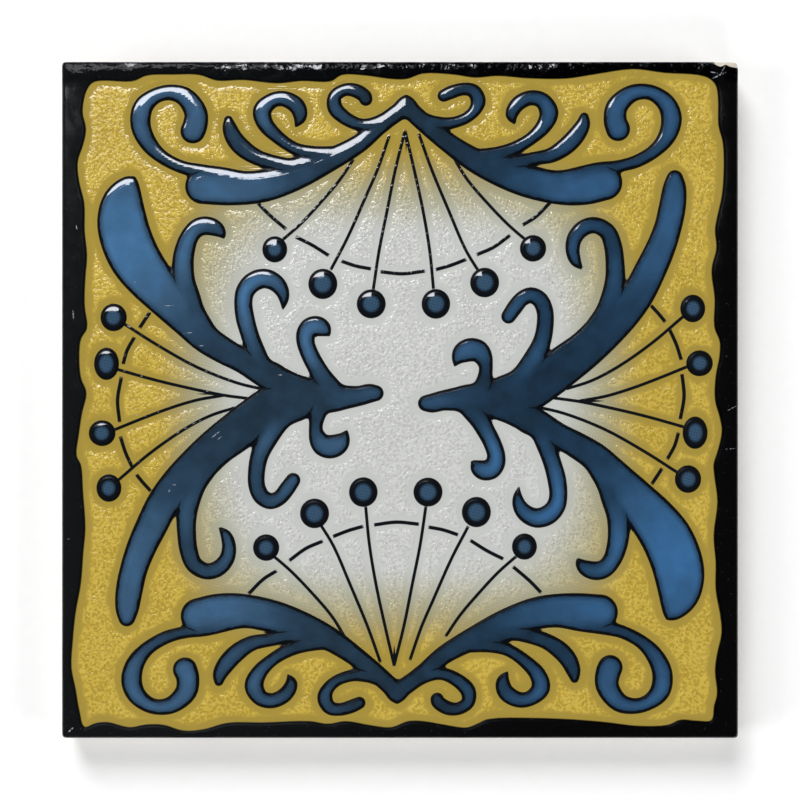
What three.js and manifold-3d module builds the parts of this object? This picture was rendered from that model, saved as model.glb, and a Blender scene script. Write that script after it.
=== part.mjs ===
// Pressed and glazed relief tile, lying flat with its face up. A raised border with a waved inner edge
// runs round a sunk field. Leafy scrolls, beads on fine stems and dashed arcs stand in the field.
// Shallow keying pockets are sunk in the back.
import * as THREE from "three";
import { mergeVertices } from "three/addons/utils/BufferGeometryUtils.js";
import Module from "manifold-3d";

const wasm = await Module();
wasm.setup();

// Driving dimensions in millimetres.
const TILE_SIDE = 100;
const TILE_THICKNESS = 7;
const RELIEF_HEIGHT = 0.9;

// The worn and rounded upper arris: how far it reaches in from the side and down from the face.
const ARRIS_WIDTH = 1.3;
const ARRIS_DROP = 0.75;
const ARRIS_STEPS = 3;

// Flanks of the raised forms: how far each spreads between the face and the sunk field.
const SCROLL_FLANK = 0.4;
const BORDER_FLANK = 0.6;

// Beads and stems stand lower than the scrolls.
const BEAD_HEIGHT = 0.8;
const BEAD_SIDES = 14;
const BEAD_RINGS = 3;
const STEM_HEIGHT = 0.32;
const STEM_HALF_WIDTH = 0.2;
const STEM_FLANK = 0.22;

// How far every raised form is sunk into the body below the field.
const ROOT_DEPTH = 0.5;

// The back: a plain rim and ribs around shallow square pockets.
const BACK_RIM = 6;
const BACK_RIB = 4;
const BACK_POCKETS = 4;
const BACK_POCKET_DEPTH = 0.6;

// The glaze and a little body are chipped off the upper right corner to this depth.
const CHIP_DEPTH = 0.45;

// The ornament is drawn on a square of this side, centred on the tile, and scaled to the tile.
const DRAWN_SIDE = 100;

// Every group of the ornament comes twice, the second time turned half round about the group's centre.
const UPPER_SCROLL_TURN = [0.22, 0.11];
const UPPER_FAN_TURN = [-0.06, 0.3];
const LEFT_TURN = [0.12, 0.26];

// Points taken along a stroke or an edge between two drawn points, and points on a stroke's round end.
const STROKE_STEPS = 2;
const STEM_STEPS = 1;
const EDGE_STEPS = 2;
const END_POINTS = 4;

// A stroke that ends narrower than this half width ends in a point. The steepest taper is the most that
// the half width may change per unit of length, and the allowance is how far a kept side point may lie
// within a neighbouring disc.
const POINTED_BELOW = 0.3;
const STEEPEST_TAPER = 0.95;
const FOLD_ALLOWANCE = 0.05;

// Scrolls as brush strokes. Each point is x, y and the half width of the stroke there.
// The strokes that start at the middle of the top side.
const UPPER_SCROLLS = {
  apex: [[0.9, 43.28, 1.4], [0.9, 45.03, 0.1]],
  leftBody: [[0.9, 43.38, 1.35], [-2.75, 40.73, 1.3], [-5.9, 37.98, 1.4], [-10.9, 35.18, 1.75],
    [-15.7, 32.88, 2.05], [-20.3, 31.58, 2.4], [-25, 31.28, 2.55], [-29.1, 31.58, 2.65]],
  leftBigSpiral: [[-25.5, 32.88, 1.4], [-29.5, 33.78, 1.1], [-32.4, 34.48, 0.98], [-35.25, 35.98, 1.03],
    [-37.15, 37.93, 1.29], [-38.3, 40.53, 1.5], [-38, 43.18, 1.5], [-36.4, 44.78, 1.2],
    [-34.2, 45.43, 1.17], [-31.85, 44.83, 1.43], [-30.15, 42.38, 1.72], [-30.3, 40.48, 1.85],
    [-30.6, 39.73, 1.85]],
  leftLeafTip: [[-13.4, 35, 1.5], [-16, 34.48, 1.3], [-18.6, 35.03, 1.15], [-21.3, 35.93, 1.2],
    [-23.3, 37.28, 1.35], [-24.5, 38.68, 1.3], [-25.15, 40.18, 1.08], [-25.35, 41.38, 0.65]],
  leftMidSpiral: [[-10.8, 36.28, 1.2], [-13.2, 36.48, 1.1], [-15.6, 37.18, 0.95], [-18.05, 38.83, 1.02],
    [-19.95, 40.88, 1.25], [-20.35, 42.78, 1.38], [-18.8, 44.28, 1.15], [-17.05, 44.48, 1.18],
    [-15.2, 43.38, 1.25], [-14.75, 41.88, 1], [-15.4, 40.38, 0.15]],
  leftSmallSpiral: [[-2.6, 40.98, 1.1], [-5.7, 40.63, 0.95], [-8.05, 41.63, 1.05], [-9.6, 43.18, 1.15],
    [-9.6, 44.88, 1], [-8.1, 45.83, 0.95], [-6.5, 45.68, 1.05], [-5.2, 44.83, 1.05], [-5.05, 44.43, 1]],
  rightBody: [[0.9, 43.38, 1.35], [3.85, 40.68, 1.4], [7.3, 37.88, 1.5], [10.9, 35.48, 1.8],
    [14.9, 33.58, 2.1], [19.2, 32.18, 2.4], [24.2, 31.28, 2.5], [27.4, 31.48, 2.65],
    [30.2, 32.13, 2.65]],
  rightBigSpiral: [[25, 32.48, 1.6], [29, 33.88, 1.2], [32.3, 34.53, 0.92], [35, 35.28, 0.97],
    [37.75, 36.93, 1.05], [39.5, 39.08, 1.35], [40.1, 41.58, 1.55], [39.45, 43.63, 1.42],
    [37.75, 45.13, 1.2], [35.95, 45.58, 1.17], [33.95, 45.13, 1.32], [32, 43.23, 1.62],
    [31.8, 41.18, 1.72], [32.2, 40.03, 1.8]],
  rightLeafTip: [[14.6, 34.7, 1.5], [17.2, 34.88, 1.3], [19.6, 35.63, 1], [22.4, 36.18, 1.15],
    [24.7, 37.68, 1.35], [26.25, 39.38, 1.3], [27.05, 40.78, 1.05], [27.2, 41.78, 0.7]],
  rightMidSpiral: [[12.6, 35.88, 1.3], [15, 36.48, 1.1], [17.2, 37.33, 1], [19.55, 38.78, 0.98],
    [21.3, 40.58, 1.2], [22, 42.48, 1.42], [21, 44.23, 1.22], [19.25, 44.63, 1.13], [17.4, 43.73, 1.12],
    [16.5, 42.18, 0.92], [16.95, 40.83, 0.15]],
  rightSmallSpiral: [[4.4, 40.98, 1.1], [7.3, 40.88, 0.9], [9.7, 41.63, 0.85], [11.1, 42.88, 0.95],
    [11.55, 44.23, 1.13], [10.85, 45.63, 1.05], [9.35, 45.93, 0.95], [7.5, 45.43, 1],
    [6.45, 44.96, 0.93]],
};

// The strokes that start at the middle of the left side.
const LEFT_SCROLLS = {
  upperLeaf: [[-39.3, 32.7, 0.35], [-40.2, 31.3, 1.75], [-41, 29, 3.05], [-41.05, 26.5, 3.68],
    [-40.5, 24, 3.85], [-39.2, 21, 3.8], [-37.3, 18.3, 3.5], [-34.6, 15.2, 3], [-31.2, 11.9, 2.72],
    [-28.7, 9.1, 2.2], [-26.1, 7.35, 2], [-23.1, 5.7, 1.85], [-19.4, 3.6, 2.15], [-16, 1.9, 2.15],
    [-13, 0.7, 2.35], [-10.5, 0.2, 2.1], [-8, 0.4, 1.75], [-6, 0.62, 1.5], [-4.5, 0.98, 1.42],
    [-3.6, 1, 1.2]],
  upperHookA: [[-31, 14.6, 1.7], [-31.9, 17.6, 1.65], [-32.05, 20.5, 1.6], [-31.7, 22.5, 1.5],
    [-31.1, 24.1, 1.38], [-30, 25.4, 1.38], [-28.7, 25.75, 1.4], [-27.3, 25.4, 1.2],
    [-26.45, 24.75, 0.75], [-25.95, 23.9, 0.12]],
  upperHookB: [[-20.2, 4.6, 1.6], [-21.4, 7.4, 1.42], [-22.25, 9.8, 1.35], [-22.9, 12.2, 1.4],
    [-23.15, 14.5, 1.35], [-22.8, 16.2, 1.42], [-21.6, 17.5, 1.5], [-19.95, 17.95, 1.45],
    [-18.45, 17.35, 1.32], [-17.5, 16.25, 1.08], [-17.15, 14.95, 0.74], [-17.3, 13.4, 0.12]],
  upperHookC: [[-10.2, 1.6, 1.7], [-11.5, 3.4, 1.5], [-12.3, 4.8, 1.38], [-13.35, 6.8, 1.33],
    [-13.95, 8.6, 1.35], [-13.85, 9.9, 1.45], [-13.2, 10.75, 1.5], [-12.2, 10.9, 1.5],
    [-11.4, 10.6, 1.2], [-10.8, 10, 0.6], [-10.35, 9.55, 0.15]],
  lowerLeaf: [[-15.2, -0.2, 2.75], [-18.5, -0.7, 3], [-21.5, -2.6, 3], [-24.2, -4.7, 3],
    [-27.2, -7, 2.85], [-30.2, -9.9, 2.85], [-32.9, -12.7, 2.7], [-35, -15.3, 2.45],
    [-36.8, -18.8, 2.35], [-38.2, -21.8, 2.2], [-39.3, -24.9, 2.05], [-40, -28.1, 2],
    [-40.3, -30.7, 1.75], [-40.35, -32.2, 1.25]],
  lowerHookA: [[-30.6, -13.4, 1.6], [-31.5, -17, 1.5], [-31.5, -20, 1.4], [-31.2, -22.3, 1.35],
    [-30.4, -24.3, 1.28], [-28.6, -25.3, 1.22], [-26.9, -24.9, 1.22], [-25.6, -23.5, 1.15],
    [-25.25, -21.7, 1.05], [-25.65, -20.1, 0.85], [-26.6, -18.9, 0.2]],
  lowerHookB: [[-17.6, -2.6, 1.8], [-19.6, -5.6, 1.6], [-20.75, -8.2, 1.35], [-21.2, -10.6, 1.27],
    [-21.15, -12.7, 1.25], [-20.4, -14.3, 1.25], [-19.1, -14.95, 1.2], [-17.8, -14.45, 1.15],
    [-16.75, -13.2, 1.18], [-15.8, -11.85, 1.1]],
  lowerHookC: [[-12, -0.8, 1.6], [-12.4, -3.4, 1.05], [-12.4, -4.7, 1.08], [-12, -5.9, 1.4],
    [-11.3, -6.7, 1.65], [-10.2, -6.9, 1.75], [-9.15, -6.55, 1.55], [-8.4, -5.8, 1],
    [-7.85, -4.55, 0.15]],
};

// The fan under the upper scrolls: beads as x, y, half width and half height, the stems that carry
// them, each from its root to its bead, and the dashes that cross the stems in an arc.
const UPPER_FAN = {
  beads: [[-18.5, 22.25, 1.85, 1.95], [-11.4, 17.15, 2.15, 2.25], [-4.25, 14.2, 2.15, 2.15],
    [5.3, 14.2, 2.12, 2.2], [12.5, 17.35, 2.15, 2.2], [19.65, 22.4, 1.95, 1.97]],
  stems: [
    [[-6.9, 35.5], [-9, 32.4], [-11.9, 29], [-14.6, 26.1], [-17.3, 23.7]],
    [[-1.6, 39], [-3.3, 34.1], [-5, 30.2], [-7.75, 24], [-10.2, 19.3]],
    [[0.75, 39.8], [-0.7, 34], [-1.9, 28], [-3.1, 22], [-3.95, 16.3]],
    [[0.75, 39.8], [2.1, 34], [3.4, 28], [4.4, 22], [4.95, 16.4]],
    [[2.8, 39.3], [4.7, 34], [7.2, 28], [9.7, 22.2], [11.5, 19.2]],
    [[8.1, 35.5], [10, 32.5], [13.1, 28.9], [16, 25.9], [18.4, 23.8]],
  ],
  dashes: [
    [[-20.9, 29], [-19.3, 27.35], [-16.9, 25.3]],
    [[-15.3, 24.05], [-13, 22.9], [-10.6, 21.4]],
    [[-8.6, 20.5], [-6.5, 19.8], [-4.4, 19.4]],
    [[-2.8, 18.95], [0.4, 18.65], [3.6, 19.05]],
    [[5.4, 19.3], [7.5, 19.9], [9.7, 20.75]],
    [[11.4, 21.5], [13.8, 22.55], [16.2, 24.3]],
    [[18.2, 25.9], [20.1, 27.1], [22.2, 29.2]],
  ],
};

// The fan between the left scrolls.
const LEFT_FAN = {
  beads: [[-42.3, 12.2, 1.95, 2.05], [-43.35, 5.35, 1.85, 2.4], [-44, -4.9, 1.98, 1.92],
    [-43, -13, 1.85, 2.05]],
  stems: [
    [[-20.3, 1.6], [-24, 2.5], [-30, 4.85], [-36, 8.2], [-40.7, 11.2]],
    [[-22.3, 0.2], [-26, 0.7], [-30, 1.5], [-36, 2.9], [-41.7, 4.5]],
    [[-26.3, 0.65], [-30, 0], [-34, -1.2], [-38, -2.7], [-42.2, -4.4]],
    [[-24.4, -1.15], [-28, -2.3], [-32, -4.4], [-37, -7.9], [-41.7, -11.9]],
  ],
  dashes: [
    [[-37, 12.9], [-37.8, 11.7], [-38.45, 10.7]],
    [[-39.3, 9.2], [-40.35, 7.3], [-40.9, 5.4]],
    [[-41.2, 3.3], [-41.75, 0], [-41.45, -3.2]],
    [[-41.3, -5.5], [-40.6, -7.7], [-39.65, -9.8]],
    [[-38.9, -11.1], [-38, -12.2], [-36.9, -13.4]],
  ],
};

// The waved inner edge of the border, clockwise from the upper left corner.
const BORDER_EDGE = [[-46.3, 45.6], [-45.4, 46.85], [-44, 47.15], [-39.5, 47.05], [-37.4, 47.9],
  [-33.5, 48.05], [-29.7, 48], [-27, 47.15], [-23.2, 47.25], [-18.2, 46.75], [-14.5, 47.1],
  [-10.2, 47.05], [-8.6, 48], [-5, 47.9], [-1.3, 47.4], [1, 47.4], [3.4, 48.2], [7.9, 48.05],
  [11.1, 47.6], [14.4, 47.85], [18.9, 47.5], [24.5, 47.45], [28.9, 48.1], [34.4, 48.85], [39.1, 48.3],
  [43.9, 48], [45.6, 47.5], [46.6, 46.5], [46.95, 44.4], [47, 40.6], [47.65, 38], [47.78, 34],
  [47.5, 30.2], [46.8, 27], [46.5, 25.2], [46.7, 22.4], [46.1, 20], [46, 18.6], [46.45, 15],
  [46.4, 10.8], [47.2, 8.6], [47.15, 6.5], [46.6, 3.5], [46.5, 0], [47.2, -2.6], [47.5, -4.6],
  [46.9, -7.5], [46.3, -9.4], [46.4, -11.2], [46.85, -15], [46.3, -20], [46.6, -24], [46.6, -28],
  [47.3, -32], [47.45, -34.5], [46.8, -37.5], [46.5, -40], [46.8, -43.4], [46.35, -45.2], [46, -47.25],
  [43.9, -47.35], [41.4, -47.2], [39.6, -47.95], [35.1, -48.1], [30.8, -47.6], [27, -47.25],
  [20.6, -46.95], [13, -47.1], [11.5, -47.75], [9.8, -48.35], [6.7, -47.95], [3.4, -47.4], [1.2, -47.4],
  [-1.3, -48.3], [-4.4, -48], [-8, -47.4], [-10.7, -47.8], [-13.4, -47.4], [-20.2, -47.6],
  [-25.5, -47.65], [-29, -48.6], [-32, -48.8], [-34.9, -47.95], [-37.5, -47.9], [-40, -48.3],
  [-43.2, -47.55], [-45, -47.7], [-46.6, -48.25], [-47.3, -46], [-47.9, -42.6], [-48.5, -39.5],
  [-48.3, -35.5], [-47.9, -31.5], [-47.1, -27], [-46.75, -22.5], [-46.45, -19], [-46.8, -13.5],
  [-47.1, -9.6], [-47.75, -8.2], [-47.4, -5], [-46.95, -2], [-46.3, 1.1], [-47.1, 3.3], [-47.35, 6.5],
  [-47.1, 9], [-46.2, 10.6], [-46.55, 14], [-46.45, 18], [-46.2, 21.3], [-46.55, 25], [-46.6, 29],
  [-47.4, 32.5], [-47.55, 35.3], [-46.8, 37.6], [-46.35, 40], [-46.85, 42.6]];

// The chipped corner, seen from above.
const CHIP_EDGE = [[46.2, 51], [46.5, 49.5], [47.3, 49.15], [48.1, 49.5], [48.9, 49.1], [51, 48.9], [51, 51]];

const FIELD_LEVEL = TILE_THICKNESS - RELIEF_HEIGHT;
const DRAWN_SCALE = TILE_SIDE / DRAWN_SIDE;
const scaled = (points) => points.map((point) => point.map((value) => value * DRAWN_SCALE));

// Lists of drawn points, each followed by its copy turned half round, with widths and sizes kept.
const withHalfTurn = (lists, [centreX, centreY]) => lists.flatMap((points) => [
  points,
  points.map(([x, y, ...rest]) => [2 * centreX - x, 2 * centreY - y, ...rest]),
]);

// One closed three.js geometry as a solid for joining and cutting.
function solid(geometry) {
  const bare = geometry.clone();
  bare.deleteAttribute("normal");
  bare.deleteAttribute("uv");
  const merged = mergeVertices(bare, 1e-4);
  return new wasm.Manifold(new wasm.Mesh({
    numProp: 3,
    vertProperties: merged.attributes.position.array,
    triVerts: new Uint32Array(merged.index.array),
  }));
}

// A solid as a three.js geometry.
function geometryOf(made) {
  const mesh = made.getMesh();
  const geometry = new THREE.BufferGeometry();
  geometry.setAttribute("position", new THREE.BufferAttribute(mesh.vertProperties, mesh.numProp));
  geometry.setIndex(new THREE.BufferAttribute(mesh.triVerts, 1));
  geometry.computeVertexNormals();
  return geometry;
}

const outlineShape = (points) => new THREE.Shape(points.map(([x, y]) => new THREE.Vector2(x, y)));

// A straight prism over an outline, between two levels.
function prism(points, bottom, top) {
  const geometry = new THREE.ExtrudeGeometry(
    outlineShape(points), { depth: top - bottom, bevelEnabled: false });
  return solid(geometry.translate(0, 0, bottom));
}

// A form with the outline at the level of its top and a flank that spreads down to the field.
function raisedForm(points, top, flank) {
  const height = top - FIELD_LEVEL;
  const geometry = new THREE.ExtrudeGeometry(outlineShape(points), {
    depth: ROOT_DEPTH,
    bevelThickness: height,
    bevelSize: flank,
    bevelSegments: 1,
  });
  return solid(geometry.translate(0, 0, top - height - ROOT_DEPTH));
}

// The outline of a brush stroke: the line that wraps a disc of the stroke's half width all along its spine.
// Side points that the flank would fold over in a tight bend are left out.
function strokeOutline(points, { flank, steps, endPoints }) {
  const curve = new THREE.CatmullRomCurve3(
    points.map(([x, y, half]) => new THREE.Vector3(x, y, half)), false, "centripetal");
  const spine = curve.getPoints((points.length - 1) * steps);
  const last = spine.length - 1;
  const stretch = spine.map((point, i) =>
    new THREE.Vector3().subVectors(spine[Math.min(i + 1, last)], spine[Math.max(i - 1, 0)]));
  const heading = stretch.map(({ x, y }) => Math.atan2(y, x));
  // The wrapping line touches each disc ahead of its middle where the stroke narrows.
  const lean = stretch.map(({ x, y, z }) =>
    Math.acos(THREE.MathUtils.clamp(-z / Math.hypot(x, y), -STEEPEST_TAPER, STEEPEST_TAPER)));
  const offset = (i, turn, reach) => [
    spine[i].x + reach * Math.cos(heading[i] + turn),
    spine[i].y + reach * Math.sin(heading[i] + turn),
  ];
  const isClear = (i, turn) => {
    const [x, y] = offset(i, turn, spine[i].z + flank);
    return spine.every((other) => Math.hypot(x - other.x, y - other.y) > other.z + flank - FOLD_ALLOWANCE);
  };
  const side = (sign) => spine.map((point, i) => i)
    .filter((i) => isClear(i, sign * lean[i]))
    .map((i) => offset(i, sign * lean[i], spine[i].z));
  const roundEnd = (i, from, to) => {
    const count = spine[i].z < POINTED_BELOW ? Math.min(endPoints, 1) : endPoints;
    return Array.from({ length: count }, (_, k) =>
      offset(i, THREE.MathUtils.lerp(from, to, (k + 1) / (count + 1)), spine[i].z));
  };
  return [
    ...side(-1),
    ...roundEnd(last, -lean[last], lean[last]),
    ...side(1).reverse(),
    ...roundEnd(0, lean[0], 2 * Math.PI - lean[0]),
  ];
}

// The body: a square block whose upper arris is rounded.
function tileBody() {
  const half = TILE_SIDE / 2 - ARRIS_WIDTH;
  const square = [[-half, -half], [half, -half], [half, half], [-half, half]];
  const block = new THREE.ExtrudeGeometry(outlineShape(square), {
    depth: TILE_THICKNESS - ARRIS_DROP,
    bevelThickness: ARRIS_DROP,
    bevelSize: ARRIS_WIDTH,
    bevelSegments: ARRIS_STEPS,
  });
  const under = prism(square.map(([x, y]) => [2 * x, 2 * y]), -2 * ARRIS_DROP, 0);
  return solid(block).subtract(under);
}

// The sunk field: cut down from the face inside the waved edge, with a flank at its rim.
function sunkField() {
  const curve = new THREE.CatmullRomCurve3(
    scaled(BORDER_EDGE).map(([x, y]) => new THREE.Vector3(x, y, 0)), true, "centripetal");
  const edge = curve.getPoints(BORDER_EDGE.length * EDGE_STEPS).slice(0, -1).map(({ x, y }) => [x, y]);
  const geometry = new THREE.ExtrudeGeometry(outlineShape(edge), {
    depth: ROOT_DEPTH,
    bevelThickness: RELIEF_HEIGHT,
    bevelSize: BORDER_FLANK,
    bevelOffset: -BORDER_FLANK,
    bevelSegments: 1,
  });
  return solid(geometry.translate(0, 0, TILE_THICKNESS));
}

// A bead: a low dome on a buried root.
function bead([x, y, halfWidth, halfHeight]) {
  const profile = [
    new THREE.Vector2(0, FIELD_LEVEL - ROOT_DEPTH),
    new THREE.Vector2(1, FIELD_LEVEL - ROOT_DEPTH),
  ];
  for (let ring = 0; ring < BEAD_RINGS; ring += 1) {
    const angle = (Math.PI / 2) * (ring / BEAD_RINGS);
    profile.push(new THREE.Vector2(Math.cos(angle), FIELD_LEVEL + BEAD_HEIGHT * Math.sin(angle)));
  }
  profile.push(new THREE.Vector2(0, FIELD_LEVEL + BEAD_HEIGHT));
  const geometry = new THREE.LatheGeometry(profile, BEAD_SIDES).rotateX(Math.PI / 2);
  return solid(geometry.scale(halfWidth, halfHeight, 1).translate(x, y, 0));
}

// The keying pockets, cut up into the back.
function backPockets() {
  const pitch = (TILE_SIDE - 2 * BACK_RIM + BACK_RIB) / BACK_POCKETS;
  const half = (pitch - BACK_RIB) / 2;
  const pockets = [];
  for (let row = 0; row < BACK_POCKETS; row += 1) {
    for (let column = 0; column < BACK_POCKETS; column += 1) {
      const x = (column - (BACK_POCKETS - 1) / 2) * pitch;
      const y = (row - (BACK_POCKETS - 1) / 2) * pitch;
      const square = [[x - half, y - half], [x + half, y - half], [x + half, y + half], [x - half, y + half]];
      pockets.push(prism(square, -BACK_POCKET_DEPTH, BACK_POCKET_DEPTH));
    }
  }
  return pockets;
}

const upperScrolls = withHalfTurn(Object.values(UPPER_SCROLLS), UPPER_SCROLL_TURN);
const leftScrolls = withHalfTurn(Object.values(LEFT_SCROLLS), LEFT_TURN);
const fromFans = (part) => [
  ...withHalfTurn(part(UPPER_FAN), UPPER_FAN_TURN),
  ...withHalfTurn(part(LEFT_FAN), LEFT_TURN),
];

const scrollStyle = { flank: SCROLL_FLANK, steps: STROKE_STEPS, endPoints: END_POINTS };
const scrolls = [...upperScrolls, ...leftScrolls]
  .map((points) => raisedForm(strokeOutline(scaled(points), scrollStyle), TILE_THICKNESS, SCROLL_FLANK));

const stemStyle = { flank: STEM_FLANK, steps: STEM_STEPS, endPoints: 0 };
const fineLines = fromFans(({ stems, dashes }) => [...stems, ...dashes])
  .map((points) => scaled(points).map(([x, y]) => [x, y, STEM_HALF_WIDTH]))
  .map((points) => raisedForm(strokeOutline(points, stemStyle), FIELD_LEVEL + STEM_HEIGHT, STEM_FLANK));

const beads = scaled(fromFans(({ beads: places }) => [places]).flat()).map(bead);
const chip = prism(scaled(CHIP_EDGE), TILE_THICKNESS - CHIP_DEPTH, TILE_THICKNESS + CHIP_DEPTH);

const ground = tileBody().subtract(sunkField());
const pressed = wasm.Manifold.union([ground, ...scrolls, ...fineLines, ...beads]);
const finished = wasm.Manifold.difference([pressed, ...backPockets(), chip]);

const tile = new THREE.Mesh(
  geometryOf(finished), new THREE.MeshStandardMaterial({ color: 0x3b5f86, roughness: 0.2 }));
tile.name = "tile";

const ornamentalTile = new THREE.Group();
ornamentalTile.name = "ornamental_tile";
ornamentalTile.add(tile);

export default ornamentalTile;
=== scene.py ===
"""Looks of a pressed and glazed relief tile that lies flat with its face up.

The face is one closed mesh. Distances to the drawn forms are stored on its points, a Geometry Nodes tree presses
the relief from them, and the glaze reads the same distances for its printed colours.
"""

import logging
import math
from collections.abc import Callable
from dataclasses import dataclass, field
from enum import Enum
from functools import partial

import bpy
import numpy as np
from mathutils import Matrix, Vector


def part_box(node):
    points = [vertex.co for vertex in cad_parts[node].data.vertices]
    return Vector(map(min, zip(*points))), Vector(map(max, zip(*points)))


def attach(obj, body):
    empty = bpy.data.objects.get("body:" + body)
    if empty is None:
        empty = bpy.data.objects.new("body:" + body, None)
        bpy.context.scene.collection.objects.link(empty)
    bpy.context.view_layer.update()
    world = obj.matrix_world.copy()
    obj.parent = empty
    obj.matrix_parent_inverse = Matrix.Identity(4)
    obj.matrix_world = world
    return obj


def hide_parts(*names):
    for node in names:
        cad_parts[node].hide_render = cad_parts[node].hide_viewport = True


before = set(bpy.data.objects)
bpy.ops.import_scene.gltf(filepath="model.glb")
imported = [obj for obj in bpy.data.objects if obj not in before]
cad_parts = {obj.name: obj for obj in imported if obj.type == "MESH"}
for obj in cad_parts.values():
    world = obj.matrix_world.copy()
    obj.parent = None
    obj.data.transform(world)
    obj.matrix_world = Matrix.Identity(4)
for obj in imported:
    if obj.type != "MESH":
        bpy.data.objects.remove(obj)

LOG = logging.getLogger("ornamental_tile")
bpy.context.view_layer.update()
MM = 0.001
TINY = 1e-9
NODE = "tile"
BODY = "root"

Point = tuple[float, ...]
Input = float | bool | str | tuple | bpy.types.NodeSocket
AddNode = Callable[..., bpy.types.NodeSocket | None]

BAKE_MAP = "OFBake"

# The ornament is drawn in millimetres on a square of this side, and scaled to the tile.
DRAWN_SIDE = 100.0

# Every group of the ornament comes twice, the second time turned half round about the group's centre.
UPPER_SCROLL_TURN = (0.22, 0.11)
UPPER_FAN_TURN = (-0.06, 0.3)
LEFT_TURN = (0.12, 0.26)


def turned_half(points: list[Point], centre: Point) -> list[Point]:
    """Turn drawn points half round about a centre, with their widths kept.

    Args:
        points: places followed by any widths.
        centre: the place that stays.

    Returns:
        The turned points.
    """
    return [(2 * centre[0] - x, 2 * centre[1] - y, *rest) for x, y, *rest in points]


class LineKind(Enum):
    """The fine black lines, each with its half width in millimetres."""

    STEM = 0.205
    DASH = 0.235


@dataclass(frozen=True)
class Stroke:
    """One brush stroke: the middle and half width of discs along it, and how light its blue is on the way."""

    points: list[Point]
    tones: list[float]

    def turned(self, centre: Point) -> "Stroke":
        """Return the stroke turned half round about a centre."""
        return Stroke(turned_half(self.points, centre), self.tones)


@dataclass(frozen=True)
class Fan:
    """Beads on stems, with the dashed arc behind them."""

    beads: list[Point]
    stems: list[list[Point]]
    dashes: list[list[Point]]

    def turned(self, centre: Point) -> "Fan":
        """Return the fan turned half round about a centre."""
        return Fan(
            turned_half(self.beads, centre),
            [turned_half(stem, centre) for stem in self.stems],
            [turned_half(dash, centre) for dash in self.dashes],
        )


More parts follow.
